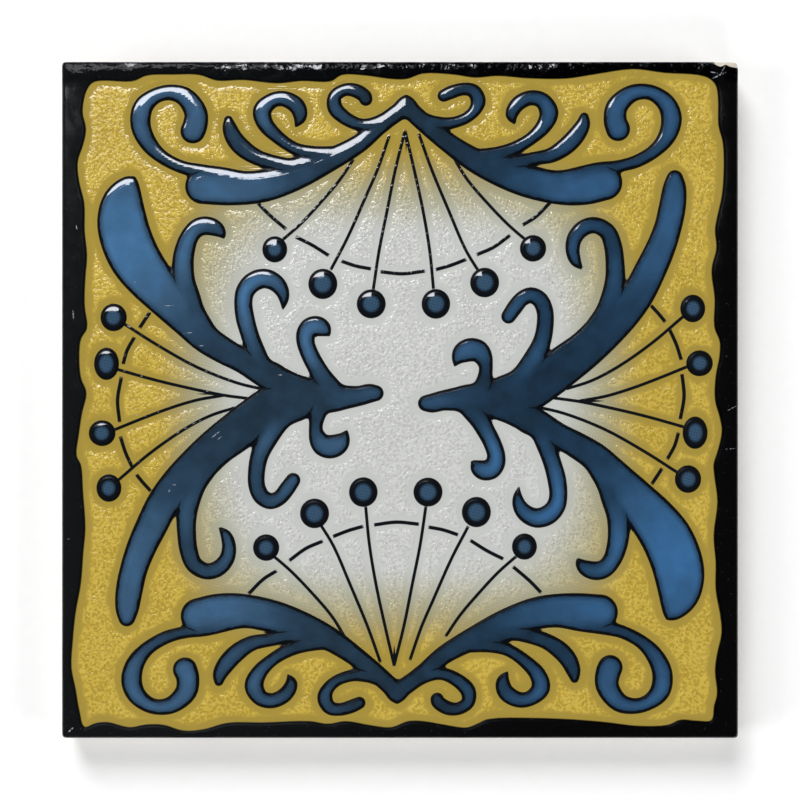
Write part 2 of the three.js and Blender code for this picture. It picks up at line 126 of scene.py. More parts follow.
UPPER_SCROLLS: dict[str, Stroke] = {
    "apex": Stroke(
        [(0.9, 43.28, 1.4), (0.9, 45.03, 0.1)],
        tones=[0.1, 0.1],
    ),
    "left_body": Stroke(
        [(0.9, 43.38, 1.35), (-2.75, 40.73, 1.3), (-5.9, 37.98, 1.4), (-10.9, 35.18, 1.75),
         (-15.7, 32.88, 2.05), (-20.3, 31.58, 2.4), (-25, 31.28, 2.55), (-29.1, 31.58, 2.65)],
        tones=[0.1, 0.08, 0.1, 0.15, 0.45, 0.65, 0.7],
    ),
    "left_big_spiral": Stroke(
        [(-22.5, 32.2, 1.1), (-25.5, 32.88, 1.4), (-29.5, 33.78, 1.1), (-32.4, 34.48, 0.98), (-35.25, 35.98, 1.03),
         (-37.15, 37.93, 1.29), (-38.3, 40.53, 1.5), (-38, 43.18, 1.5), (-36.4, 44.78, 1.2),
         (-34.2, 45.43, 1.17), (-31.85, 44.83, 1.43), (-30.15, 42.38, 1.72), (-30.3, 40.48, 1.85),
         (-30.6, 39.73, 1.85)],
        tones=[0.6, 0.1, 0.33, 0.7, 0.65, 0.6],
    ),
    "left_leaf_tip": Stroke(
        [(-13.4, 35, 1.5), (-16, 34.48, 1.3), (-18.6, 35.03, 1.15), (-21.3, 35.93, 1.2),
         (-23.3, 37.28, 1.35), (-24.5, 38.68, 1.3), (-25.15, 40.18, 1.08), (-25.35, 41.38, 0.65)],
        tones=[0.1, 0.1, 0.15, 0.25],
    ),
    "left_mid_spiral": Stroke(
        [(-10.8, 36.28, 1.2), (-13.2, 36.48, 1.1), (-15.6, 37.18, 0.95), (-18.05, 38.83, 1.02),
         (-19.95, 40.88, 1.25), (-20.35, 42.78, 1.38), (-18.8, 44.28, 1.15), (-17.05, 44.48, 1.18),
         (-15.2, 43.38, 1.25), (-14.75, 41.88, 1), (-15.4, 40.38, 0.15)],
        tones=[0.1, 0.15, 0.25, 0.6, 0.62, 0.3, 0.2],
    ),
    "left_small_spiral": Stroke(
        [(-2.6, 40.98, 1.1), (-5.7, 40.63, 0.95), (-8.05, 41.63, 1.05), (-9.6, 43.18, 1.15),
         (-9.6, 44.88, 1), (-8.1, 45.83, 0.95), (-6.5, 45.68, 1.05), (-5.2, 44.83, 1.05),
         (-5.05, 44.43, 1)],
        tones=[0.12, 0.12, 0.2, 0.42, 0.25, 0.12, 0.1],
    ),
    "right_body": Stroke(
        [(0.9, 43.38, 1.35), (3.85, 40.68, 1.4), (7.3, 37.88, 1.5), (10.9, 35.48, 1.8),
         (14.9, 33.58, 2.1), (19.2, 32.18, 2.4), (24.2, 31.28, 2.5), (27.4, 31.48, 2.65),
         (30.2, 32.13, 2.65)],
        tones=[0.1, 0.08, 0.08, 0.12, 0.4, 0.7, 0.65],
    ),
    "right_big_spiral": Stroke(
        [(22, 32, 1.3), (25, 32.48, 1.6), (29, 33.88, 1.2), (32.3, 34.53, 0.92), (35, 35.28, 0.97),
         (37.75, 36.93, 1.05), (39.5, 39.08, 1.35), (40.1, 41.58, 1.55), (39.45, 43.63, 1.42),
         (37.75, 45.13, 1.2), (35.95, 45.58, 1.17), (33.95, 45.13, 1.32), (32, 43.23, 1.62),
         (31.8, 41.18, 1.72), (32.2, 40.03, 1.8)],
        tones=[0.6, 0.15, 0.3, 0.65, 0.68, 0.65],
    ),
    "right_leaf_tip": Stroke(
        [(14.6, 34.7, 1.5), (17.2, 34.88, 1.3), (19.6, 35.63, 1), (22.4, 36.18, 1.15),
         (24.7, 37.68, 1.35), (26.25, 39.38, 1.3), (27.05, 40.78, 1.05), (27.2, 41.78, 0.7)],
        tones=[0.1, 0.1, 0.25, 0.4, 0.4, 0.2],
    ),
    "right_mid_spiral": Stroke(
        [(12.6, 35.88, 1.3), (15, 36.48, 1.1), (17.2, 37.33, 1), (19.55, 38.78, 0.98),
         (21.3, 40.58, 1.2), (22, 42.48, 1.42), (21, 44.23, 1.22), (19.25, 44.63, 1.13),
         (17.4, 43.73, 1.12), (16.5, 42.18, 0.92), (16.95, 40.83, 0.15)],
        tones=[0.1, 0.12, 0.3, 0.6, 0.5, 0.4, 0.2],
    ),
    "right_small_spiral": Stroke(
        [(4.4, 40.98, 1.1), (7.3, 40.88, 0.9), (9.7, 41.63, 0.85), (11.1, 42.88, 0.95),
         (11.55, 44.23, 1.13), (10.85, 45.63, 1.05), (9.35, 45.93, 0.95), (7.5, 45.43, 1),
         (6.45, 44.96, 0.93)],
        tones=[0.1, 0.15, 0.2, 0.42, 0.25, 0.15, 0.1],
    ),
}

LEFT_SCROLLS: dict[str, Stroke] = {
    "upper_leaf": Stroke(
        [(-39.3, 32.7, 0.35), (-40.2, 31.3, 1.75), (-41, 29, 3.05), (-41.05, 26.5, 3.68),
         (-40.5, 24, 3.85), (-39.2, 21, 3.8), (-37.3, 18.3, 3.5), (-34.6, 15.2, 3), (-31.2, 11.9, 2.72),
         (-28.7, 9.1, 2.2), (-26.1, 7.35, 2), (-23.1, 5.7, 1.85), (-19.4, 3.6, 2.15), (-16, 1.9, 2.15),
         (-13, 0.7, 2.35), (-10.5, 0.2, 2.1), (-8, 0.4, 1.75), (-6, 0.62, 1.5), (-4.5, 0.98, 1.42),
         (-3.6, 1, 1.2)],
        tones=[0.65, 0.9, 0.7, 0.2, 0.1, 0.08, 0.45],
    ),
    "upper_hook_a": Stroke(
        [(-30.5, 12.7, 1.65), (-31, 14.6, 1.7), (-31.9, 17.6, 1.65), (-32.05, 20.5, 1.6), (-31.7, 22.5, 1.5),
         (-31.1, 24.1, 1.38), (-30, 25.4, 1.38), (-28.7, 25.75, 1.4), (-27.3, 25.4, 1.2),
         (-26.45, 24.75, 0.75), (-25.95, 23.9, 0.12)],
        tones=[0.15, 0.3, 0.6, 0.8, 0.75, 0.4, 0.3],
    ),
    "upper_hook_b": Stroke(
        [(-18.5, 4.1, 1.2), (-20.2, 4.6, 1.6), (-21.4, 7.4, 1.42), (-22.25, 9.8, 1.35), (-22.9, 12.2, 1.4),
         (-23.15, 14.5, 1.35), (-22.8, 16.2, 1.42), (-21.6, 17.5, 1.5), (-19.95, 17.95, 1.45),
         (-18.45, 17.35, 1.32), (-17.5, 16.25, 1.08), (-17.15, 14.95, 0.74), (-17.3, 13.4, 0.12)],
        tones=[0.08, 0.25, 0.6, 0.9, 0.85, 0.6, 0.3],
    ),
    "upper_hook_c": Stroke(
        [(-8.6, 0.7, 1.1), (-10.2, 1.6, 1.7), (-11.5, 3.4, 1.5), (-12.3, 4.8, 1.38), (-13.35, 6.8, 1.33),
         (-13.95, 8.6, 1.35), (-13.85, 9.9, 1.45), (-13.2, 10.75, 1.5), (-12.2, 10.9, 1.5),
         (-11.4, 10.6, 1.2), (-10.8, 10, 0.6), (-10.35, 9.55, 0.15)],
        tones=[0.08, 0.12, 0.4, 0.8, 0.9, 0.7, 0.4],
    ),
    "lower_leaf": Stroke(
        [(-15.2, -0.2, 2.75), (-18.5, -0.7, 3), (-21.5, -2.6, 3), (-24.2, -4.7, 3), (-27.2, -7, 2.85),
         (-30.2, -9.9, 2.85), (-32.9, -12.7, 2.7), (-35, -15.3, 2.45), (-36.8, -18.8, 2.35),
         (-38.2, -21.8, 2.2), (-39.3, -24.9, 2.05), (-40, -28.1, 2), (-40.3, -30.7, 1.75),
         (-40.35, -32.2, 1.25)],
        tones=[0.1, 0.08, 0.1, 0.2, 0.5, 0.7, 0.6],
    ),
    "lower_hook_a": Stroke(
        [(-28.9, -10.9, 1.2), (-30.6, -13.4, 1.6), (-31.5, -17, 1.5), (-31.5, -20, 1.4), (-31.2, -22.3, 1.35),
         (-30.4, -24.3, 1.28), (-28.6, -25.3, 1.22), (-26.9, -24.9, 1.22), (-25.6, -23.5, 1.15),
         (-25.25, -21.7, 1.05), (-25.65, -20.1, 0.85), (-26.6, -18.9, 0.2)],
        tones=[0.1, 0.35, 0.45, 0.15, 0.3, 0.55, 0.4],
    ),
    "lower_hook_b": Stroke(
        [(-14.6, -1.6, 1.2), (-17.6, -2.6, 1.8), (-19.6, -5.6, 1.6), (-20.75, -8.2, 1.35), (-21.2, -10.6, 1.27),
         (-21.15, -12.7, 1.25), (-20.4, -14.3, 1.25), (-19.1, -14.95, 1.2), (-17.8, -14.45, 1.15),
         (-16.75, -13.2, 1.18), (-15.8, -11.85, 1.1)],
        tones=[0.1, 0.25, 0.6, 0.3, 0.2, 0.45, 0.55],
    ),
    "lower_hook_c": Stroke(
        [(-12, -0.8, 1.6), (-12.4, -3.4, 1.05), (-12.4, -4.7, 1.08), (-12, -5.9, 1.4),
         (-11.3, -6.7, 1.65), (-10.2, -6.9, 1.75), (-9.15, -6.55, 1.55), (-8.4, -5.8, 1),
         (-7.85, -4.55, 0.15)],
        tones=[0.08, 0.1, 0.2, 0.45, 0.65, 0.6, 0.4],
    ),
}

UPPER_FAN = Fan(
    beads=[(-18.5, 22.25, 1.85, 1.95), (-11.4, 17.15, 2.15, 2.25), (-4.25, 14.2, 2.15, 2.15),
           (5.3, 14.2, 2.12, 2.2), (12.5, 17.35, 2.15, 2.2), (19.65, 22.4, 1.95, 1.97)],
    stems=[
        [(-6.9, 35.5), (-9, 32.4), (-11.9, 29), (-14.6, 26.1), (-17.3, 23.7)],
        [(-1.6, 39), (-3.3, 34.1), (-5, 30.2), (-7.75, 24), (-10.2, 19.3)],
        [(0.75, 39.8), (-0.7, 34), (-1.9, 28), (-3.1, 22), (-3.95, 16.3)],
        [(0.75, 39.8), (2.1, 34), (3.4, 28), (4.4, 22), (4.95, 16.4)],
        [(2.8, 39.3), (4.7, 34), (7.2, 28), (9.7, 22.2), (11.5, 19.2)],
        [(8.1, 35.5), (10, 32.5), (13.1, 28.9), (16, 25.9), (18.4, 23.8)],
    ],
    dashes=[
        [(-20.9, 29), (-19.3, 27.35), (-16.9, 25.3)],
        [(-15.3, 24.05), (-13, 22.9), (-10.6, 21.4)],
        [(-8.6, 20.5), (-6.5, 19.8), (-4.4, 19.4)],
        [(-2.8, 18.95), (0.4, 18.65), (3.6, 19.05)],
        [(5.4, 19.3), (7.5, 19.9), (9.7, 20.75)],
        [(11.4, 21.5), (13.8, 22.55), (16.2, 24.3)],
        [(18.2, 25.9), (20.1, 27.1), (22.2, 29.2)],
    ],
)

LEFT_FAN = Fan(
    beads=[(-42.3, 12.2, 1.95, 2.05), (-43.35, 5.35, 1.85, 2.4), (-44, -4.9, 1.98, 1.92),
           (-43, -13, 1.85, 2.05)],
    stems=[
        [(-20.3, 1.6), (-24, 2.5), (-30, 4.85), (-36, 8.2), (-40.7, 11.2)],
        [(-22.3, 0.2), (-26, 0.7), (-30, 1.5), (-36, 2.9), (-41.7, 4.5)],
        [(-26.3, 0.65), (-30, 0), (-34, -1.2), (-38, -2.7), (-42.2, -4.4)],
        [(-24.4, -1.15), (-28, -2.3), (-32, -4.4), (-37, -7.9), (-41.7, -11.9)],
    ],
    dashes=[
        [(-37, 12.9), (-37.8, 11.7), (-38.45, 10.7)],
        [(-39.3, 9.2), (-40.35, 7.3), (-40.9, 5.4)],
        [(-41.2, 3.3), (-41.75, 0), (-41.45, -3.2)],
        [(-41.3, -5.5), (-40.6, -7.7), (-39.65, -9.8)],
        [(-38.9, -11.1), (-38, -12.2), (-36.9, -13.4)],
    ],
)

BORDER_EDGE: list[Point] = [(-46.3, 45.6), (-45.4, 46.85), (-44, 47.15), (-39.5, 47.05), (-37.4, 47.9),
    (-33.5, 48.05), (-29.7, 48), (-27, 47.15), (-23.2, 47.25), (-18.2, 46.75), (-14.5, 47.1),
    (-10.2, 47.05), (-8.6, 48), (-5, 47.9), (-1.3, 47.4), (1, 47.4), (3.4, 48.2), (7.9, 48.05),
    (11.1, 47.6), (14.4, 47.85), (18.9, 47.5), (24.5, 47.45), (28.9, 48.1), (34.4, 48.85), (39.1, 48.3),
    (43.9, 48), (45.6, 47.5), (46.6, 46.5), (46.95, 44.4), (47, 40.6), (47.65, 38), (47.78, 34),
    (47.5, 30.2), (46.8, 27), (46.5, 25.2), (46.7, 22.4), (46.1, 20), (46, 18.6), (46.45, 15),
    (46.4, 10.8), (47.2, 8.6), (47.15, 6.5), (46.6, 3.5), (46.5, 0), (47.2, -2.6), (47.5, -4.6),
    (46.9, -7.5), (46.3, -9.4), (46.4, -11.2), (46.85, -15), (46.3, -20), (46.6, -24), (46.6, -28),
    (47.3, -32), (47.45, -34.5), (46.8, -37.5), (46.5, -40), (46.8, -43.4), (46.35, -45.2),
    (46, -47.25), (43.9, -47.35), (41.4, -47.2), (39.6, -47.95), (35.1, -48.1), (30.8, -47.6),
    (27, -47.25), (20.6, -46.95), (13, -47.1), (11.5, -47.75), (9.8, -48.35), (6.7, -47.95),
    (3.4, -47.4), (1.2, -47.4), (-1.3, -48.3), (-4.4, -48), (-8, -47.4), (-10.7, -47.8), (-13.4, -47.4),
    (-20.2, -47.6), (-25.5, -47.65), (-29, -48.6), (-32, -48.8), (-34.9, -47.95), (-37.5, -47.9),
    (-40, -48.3), (-43.2, -47.55), (-45, -47.7), (-46.6, -48.25), (-47.3, -46), (-47.9, -42.6),
    (-48.5, -39.5), (-48.3, -35.5), (-47.9, -31.5), (-47.1, -27), (-46.75, -22.5), (-46.45, -19),
    (-46.8, -13.5), (-47.1, -9.6), (-47.75, -8.2), (-47.4, -5), (-46.95, -2), (-46.3, 1.1),
    (-47.1, 3.3), (-47.35, 6.5), (-47.1, 9), (-46.2, 10.6), (-46.55, 14), (-46.45, 18), (-46.2, 21.3),
    (-46.55, 25), (-46.6, 29), (-47.4, 32.5), (-47.55, 35.3), (-46.8, 37.6), (-46.35, 40),
    (-46.85, 42.6)]


@dataclass(frozen=True)
class Mark:
    """A small long mark on the face: its middle, half length and half width in drawn millimetres, and its turn."""

    x: float
    y: float
    length: float
    width: float
    turn: float

    def turned(self, centre: Point) -> "Mark":
        """Return the mark turned half round about a centre."""
        return Mark(*turned_half([(self.x, self.y)], centre)[0], self.length, self.width, self.turn)


# Ink drawn on into the body from the tip of a notch between two strokes.
UPPER_CREASES = [
    Mark(-30.4, 33.4, 1.6, 0.2, 20), Mark(-18.1, 34, 1.7, 0.2, -3), Mark(-5, 39.9, 1.2, 0.2, 14),
    Mark(-14.1, 36, 1.3, 0.2, -2), Mark(31.4, 34, 1.6, 0.2, -21), Mark(18.2, 34.5, 1.7, 0.2, 5),
    Mark(6.1, 40.1, 1.2, 0.2, -15), Mark(15.9, 35.9, 1.3, 0.2, 15),
]
LEFT_CREASES = [
    Mark(-33.4, 18.2, 1.5, 0.2, -73), Mark(-22.5, 7.2, 1.3, 0.2, -51), Mark(-12.5, 2.7, 1.1, 0.2, -41),
    Mark(-19.6, 1.7, 1.2, 0.2, -3), Mark(-32.7, -15.8, 1.5, 0.2, 69), Mark(-21.2, -5.7, 1.4, 0.2, 55),
    Mark(-13.1, -1.5, 1.1, 0.2, 66),
]

# Wear: pale scratches through the print and the border, and pinholes in the glaze.
SCRATCHES = [
    Mark(-34.1, 13.9, 0.9, 0.09, 0), Mark(-31.2, 9.9, 0.95, 0.08, 6), Mark(-29.3, 8, 0.6, 0.07, 0),
    Mark(-27.2, -5.1, 0.9, 0.12, 38), Mark(-26.6, -5.6, 0.5, 0.07, 38), Mark(-33.3, -12.5, 0.3, 0.13, 0),
    Mark(-34, -13.3, 0.4, 0.1, 70), Mark(-39, 17.4, 0.25, 0.12, 0), Mark(-17.6, 3.7, 0.5, 0.08, 0),
    Mark(48.7, -7.2, 0.9, 0.06, 3), Mark(49, -1.2, 1, 0.07, 28), Mark(47.1, 47.9, 1.3, 0.14, 24),
    Mark(47.6, 48.6, 0.9, 0.1, 62), Mark(46.3, 48.3, 0.8, 0.1, -12), Mark(-48.6, -48.7, 0.8, 0.15, 45),
    Mark(-48.2, 12.6, 0.14, 0.8, 4), Mark(-48.9, -20.5, 0.16, 0.14, 0), Mark(-47.7, 25.4, 0.1, 0.5, 10),
]
PINHOLES = [Mark(0.9, 26.9, 0.17, 0.17, 0), Mark(22.5, 17.4, 0.16, 0.16, 0), Mark(-38.9, -2.2, 0.15, 0.15, 0)]

# The chipped corner, seen from above.
CHIP_EDGE: list[Point] = [
    (46.2, 51), (46.5, 49.5), (47.3, 49.15), (48.1, 49.5), (48.9, 49.1), (51, 48.9), (51, 51),
]


@dataclass(frozen=True)
class Ornament:
    """The whole drawing: both halves of every group, in drawn millimetres."""

    def strokes(self) -> list[Stroke]:
        """Return every brush stroke of the scrolls."""
        upper, left = list(UPPER_SCROLLS.values()), list(LEFT_SCROLLS.values())
        turned = [stroke.turned(UPPER_SCROLL_TURN) for stroke in upper]
        return upper + turned + left + [stroke.turned(LEFT_TURN) for stroke in left]

    def fans(self) -> list[Fan]:
        """Return the four fans of beads."""
        return [UPPER_FAN, UPPER_FAN.turned(UPPER_FAN_TURN), LEFT_FAN, LEFT_FAN.turned(LEFT_TURN)]

    def creases(self) -> list[Mark]:
        """Return the creases of ink at every notch."""
        turned = [mark.turned(UPPER_SCROLL_TURN) for mark in UPPER_CREASES]
        return UPPER_CREASES + turned + LEFT_CREASES + [mark.turned(LEFT_TURN) for mark in LEFT_CREASES]

    def lines(self, kind: LineKind) -> list[list[Point]]:
        """Return the fine black lines of one kind."""
        return [line for fan in self.fans() for line in (fan.stems if kind is LineKind.STEM else fan.dashes)]


def smooth_course(points: list[Point], steps: int, closed: bool = False) -> np.ndarray:
    """Run a centripetal Catmull-Rom curve through points.

    Args:
        points: the drawn points, with any widths as further coordinates.
        steps: curve points for each stretch between two drawn points.
        closed: whether the last point joins the first.

    Returns:
        One row for each curve point.
    """
    rows = np.array(points, dtype=float)
    if closed:
        rows = np.vstack([rows[-1:], rows, rows[:2]])
    else:
        rows = np.vstack([2 * rows[:1] - rows[1:2], rows, 2 * rows[-1:] - rows[-2:-1]])
    share = (np.arange(steps) / steps)[:, None]
    stretches = []
    for before, start, end, after in zip(rows, rows[1:], rows[2:], rows[3:]):
        lead, span, trail = (
            math.sqrt(np.linalg.norm(b - a)) for a, b in ((before, start), (start, end), (end, after)))
        leave = span * ((start - before) / lead - (end - before) / (lead + span) + (end - start) / span)
        arrive = span * ((end - start) / span - (after - start) / (span + trail) + (after - end) / trail)
        bend = 3 * (end - start) - 2 * leave - arrive
        twist = 2 * (start - end) + leave + arrive
        stretches.append(start + leave * share + bend * share**2 + twist * share**3)
    if not closed:
        stretches.append(rows[-2:-1])
    return np.vstack(stretches)


def disc_sweep(x: np.ndarray, y: np.ndarray, start: Point, end: Point) -> np.ndarray:
    """Measure to the band that a disc covers as it moves and changes size between two places.

    Args:
        x: across the tile.
        y: up the tile.
        start: middle and radius of the first disc.
        end: middle and radius of the last disc.

    Returns:
        Distances, negative inside the band.
    """
    run_x, run_y, narrowing = end[0] - start[0], end[1] - start[1], start[2] - end[2]
    length2 = run_x**2 + run_y**2
    side2 = length2 - narrowing**2
    dx, dy = x - start[0], y - start[1]
    along = dx * run_x + dy * run_y
    past = along - length2
    across2 = (dx * length2 - run_x * along) ** 2 + (dy * length2 - run_y * along) ** 2
    lean = np.sign(narrowing) * narrowing**2 * across2
    flank = (np.sqrt(across2 * side2 / length2) + along * narrowing) / length2 - start[2]
    near_start = np.sqrt(across2 + along**2 * length2) / length2 - start[2]
    near_end = np.sqrt(across2 + past**2 * length2) / length2 - end[2]
    result = np.where(along * np.abs(along) * length2 * side2 < lean, near_start, flank)
    return np.where(past * np.abs(past) * length2 * side2 > lean, near_end, result)


@dataclass
class FaceGrid:
    """The points of the face and its rounded arris, in millimetres: a fine grid with rounded corners."""

    side: float
    top: float
    arris_width: float = 1.3
    arris_drop: float = 0.75
    arris_cells: int = 5
    flat_cells: int = 288
    corner_squareness: float = 5.0
    count: int = field(init=False)
    x: np.ndarray = field(init=False)
    y: np.ndarray = field(init=False)
    z: np.ndarray = field(init=False)

    def __post_init__(self) -> None:
        """Place the points."""
        flat = self.side / 2 - self.arris_width
        core = np.linspace(-flat, flat, self.flat_cells + 1)
        steps = np.arange(1, self.arris_cells + 1) / self.arris_cells
        held = np.concatenate([np.full(self.arris_cells, -flat), core, np.full(self.arris_cells, flat)])
        edge = np.concatenate([-steps[::-1], np.zeros(self.flat_cells + 1), steps])
        self.count = held.size
        edge_x, edge_y = np.meshgrid(edge, edge, indexing="ij")
        held_x, held_y = np.meshgrid(held, held, indexing="ij")
        wide, tall = np.abs(edge_x), np.abs(edge_y)
        reach = np.maximum(wide, tall)
        least = np.minimum(wide, tall) / np.maximum(reach, TINY)
        angle = np.where(wide >= tall, least, 2 - least) * math.pi / 4
        power = self.corner_squareness
        square = (np.cos(angle) ** power + np.abs(np.sin(angle)) ** power) ** (-1 / power)
        out = self.arris_width * np.sin(reach * math.pi / 2) * square
        self.x = held_x + np.sign(edge_x) * out * np.cos(angle)
        self.y = held_y + np.sign(edge_y) * out * np.sin(angle)
        self.z = self.top - self.arris_drop * (1 - np.cos(reach * math.pi / 2))

    def window(self, low: np.ndarray, high: np.ndarray) -> tuple[slice, slice]:
        """Find the part of the grid that covers a box.

        Args:
            low: least x and y.
            high: greatest x and y.

        Returns:
            The two slices of the grid.
        """
        across, up = self.x[:, self.count // 2], self.y[self.count // 2, :]
        return tuple(
            slice(max(int(np.searchsorted(axis, a)) - 1, 0), int(np.searchsorted(axis, b)) + 1)
            for axis, a, b in ((across, low[0], high[0]), (up, low[1], high[1])))

    def rim(self) -> np.ndarray:
        """Return the numbers of the outermost points, anticlockwise from the lower left corner."""
        last = self.count - 1
        number = np.arange(self.count**2).reshape(self.count, self.count)
        return np.concatenate([number[:last, 0], number[last, :last], number[:0:-1, last], number[0, :0:-1]])


@dataclass
class FaceMap:
    """Distances from every point of the face to the drawn forms, in millimetres, negative inside a form."""

    grid: FaceGrid
    scale: float
    reach: float = 4.0
    course_steps: int = 4
    tone_blend: float = 0.55
    notch_fill: float = 0.6
    line_reach: float = 2.6
    line_gate: float = 0.5
    far_side: float = 9.0

    def measure(self, ornament: Ornament) -> dict[str, np.ndarray]:
        """Measure to every group of forms.

        Args:
            ornament: the drawing.

        Returns:
            One array of values for each named attribute.
        """
        scroll, tone = self._scrolls(ornament.strokes())
        bead = self._beads([bead for fan in ornament.fans() for bead in fan.beads])
        border = -self._outline(smooth_course(BORDER_EDGE, self.course_steps, closed=True) * self.scale)
        values = {
            "scroll_distance": scroll,
            "blue_tone": tone,
            "bead_distance": bead,
            "border_distance": border,
            "raised_distance": np.minimum(np.minimum(scroll, bead), border),
            "ridge_distance": self._empty(self.reach),
            "chip_distance": self._outline(np.array(CHIP_EDGE) * self.scale),
        }
        for kind in LineKind:
            name = kind.name.lower()
            values[f"{name}_offset"], values[f"{name}_gate"], distance = self._lines(ornament.lines(kind), kind, scroll)
            values["ridge_distance"] = np.minimum(values["ridge_distance"], distance)
        return values

    def _empty(self, value: float) -> np.ndarray:
        """Return a grid filled with one value."""
        return np.full(self.grid.x.shape, value)

    def _part(self, rows: np.ndarray, reach: float) -> tuple[tuple[slice, slice], np.ndarray, np.ndarray]:
        """Cut out the part of the grid near some discs.

        Args:
            rows: middles and radii.
            reach: how far beyond the discs the part goes.

        Returns:
            The slices, and the x and y of the points in them.
        """
        wide = rows[:, 2].max() + reach
        part = self.grid.window(rows[:, :2].min(axis=0) - wide, rows[:, :2].max(axis=0) + wide)
        return part, self.grid.x[part], self.grid.y[part]

    def _scrolls(self, strokes: list[Stroke]) -> tuple[np.ndarray, np.ndarray]:
        """Measure to the scrolls, and spread the tone of the nearest strokes over the face.

        Args:
            strokes: the brush strokes.

        Returns:
            The distance and the tone.
        """
        distance, toned, weight = self._empty(self.reach), self._empty(0.0), self._empty(TINY)
        for stroke in strokes:
            own = self._empty(self.reach)
            spine = smooth_course(stroke.points, self.course_steps) * self.scale
            travel = np.concatenate([[0], np.cumsum(np.linalg.norm(np.diff(spine[:, :2], axis=0), axis=1))])
            tones = np.interp(
                travel / travel[-1], np.linspace(0, 1, len(stroke.tones)), stroke.tones)
            for start, end, from_tone, to_tone in zip(spine, spine[1:], tones, tones[1:]):
                if np.linalg.norm(end[:2] - start[:2]) <= abs(start[2] - end[2]):
                    continue
                part, x, y = self._part(np.array([start, end]), self.reach)
                found = disc_sweep(x, y, start, end)
                own[part] = np.minimum(own[part], found)
                share = np.exp(-found / self.tone_blend)
                toned[part] += share * (from_tone + to_tone) / 2
                weight[part] += share
            # The glaze fills the notch between two strokes a little.
            near = np.maximum(self.notch_fill - np.abs(distance - own), 0)
            filled = np.minimum(distance, own) - near**2 / (4 * self.notch_fill)
            distance = np.where(own < self.reach - self.notch_fill, filled, distance)
        return distance, toned / weight

    def _beads(self, beads: list[Point]) -> np.ndarray:
        """Measure to the beads.

        Args:
            beads: middle, half width and half height of each.

        Returns:
            The distance.
        """
        distance = self._empty(self.reach)
        for x, y, half_width, half_height in np.array(beads) * self.scale:
            mean = (half_width + half_height) / 2
            radial = np.hypot((self.grid.x - x) / half_width, (self.grid.y - y) / half_height)
            distance = np.minimum(distance, (radial - 1) * mean)
        return distance

    def _lines(
        self, lines: list[list[Point]], kind: LineKind, scroll: np.ndarray
    ) -> tuple[np.ndarray, np.ndarray, np.ndarray]:
        """Measure to the fine lines of one kind.

        Args:
            lines: the drawn lines.
            kind: their kind, which gives their width.
            scroll: the distance to the scrolls, which cover the lines.

        Returns:
            The sideways offset from the nearest line in half widths, a gate that is negative beside its run,
            and the distance to the line.
        """
        offset, gate, nearest = self._empty(self.far_side), self._empty(self.reach), self._empty(self.reach)
        for points in lines:
            course = smooth_course([(x, y, 0.0) for x, y, *_ in points], self.course_steps) * self.scale
            for number, (start, end) in enumerate(zip(course, course[1:])):
                part, x, y = self._part(np.array([start, end]), self.line_reach)
                run = end[:2] - start[:2]
                length = np.linalg.norm(run)
                dx, dy = x - start[0], y - start[1]
                along = (dx * run[0] + dy * run[1]) / length
                side = (run[0] * dy - run[1] * dx) / length
                beyond = np.maximum(np.maximum(-along, along - length), 0)
                found = np.hypot(side, beyond)
                is_end = (number == 0) * (along < 0) + (number == len(course) - 2) * (along > length)
                closer = found < nearest[part]
                overrun = np.where(is_end, beyond, 0)
                passed = np.maximum(found - self.line_gate, overrun - kind.value / 2)
                nearest[part] = np.where(closer, found, nearest[part])
                offset[part] = np.where(closer, side / kind.value, offset[part])
                gate[part] = np.where(closer, passed, gate[part])
        return offset, np.maximum(gate, -scroll - kind.value), nearest

    def _outline(self, corners: np.ndarray) -> np.ndarray:
        """Measure to a closed outline.

        Args:
            corners: its points in order.

        Returns:
            The distance, negative inside the outline.
        """
        x, y = self.grid.x, self.grid.y
        distance, inside = self._empty(math.inf), np.zeros(x.shape, dtype=bool)
        for (ax, ay), (bx, by) in zip(corners, np.roll(corners, -1, axis=0)):
            run_x, run_y = bx - ax, by - ay
            share = np.clip(((x - ax) * run_x + (y - ay) * run_y) / (run_x**2 + run_y**2), 0, 1)
            distance = np.minimum(distance, np.hypot(x - ax - share * run_x, y - ay - share * run_y))
            if ay != by:
                crossed = ((ay > y) != (by > y)) & (x < ax + (y - ay) * run_x / run_y)
                inside ^= crossed
        return np.where(inside, -distance, distance)


@dataclass
class BackKeys:
    """Shallow square pockets in the back, in millimetres, each with leaning walls and a soft inner edge."""

    rim: float = 6.0
    rib: float = 4.0
    count: int = 4
    rings: tuple[Point, ...] = ((0.12, 0.3), (0.25, 0.5), (0.55, 0.6))

    def lines(self, side: float) -> np.ndarray:
        """Return the places of the pocket edges across a tile of this side."""
        pitch = (side - 2 * self.rim + self.rib) / self.count
        starts = self.rim - side / 2 + pitch * np.arange(self.count)
        return np.stack([starts, starts + pitch - self.rib], axis=1).ravel()


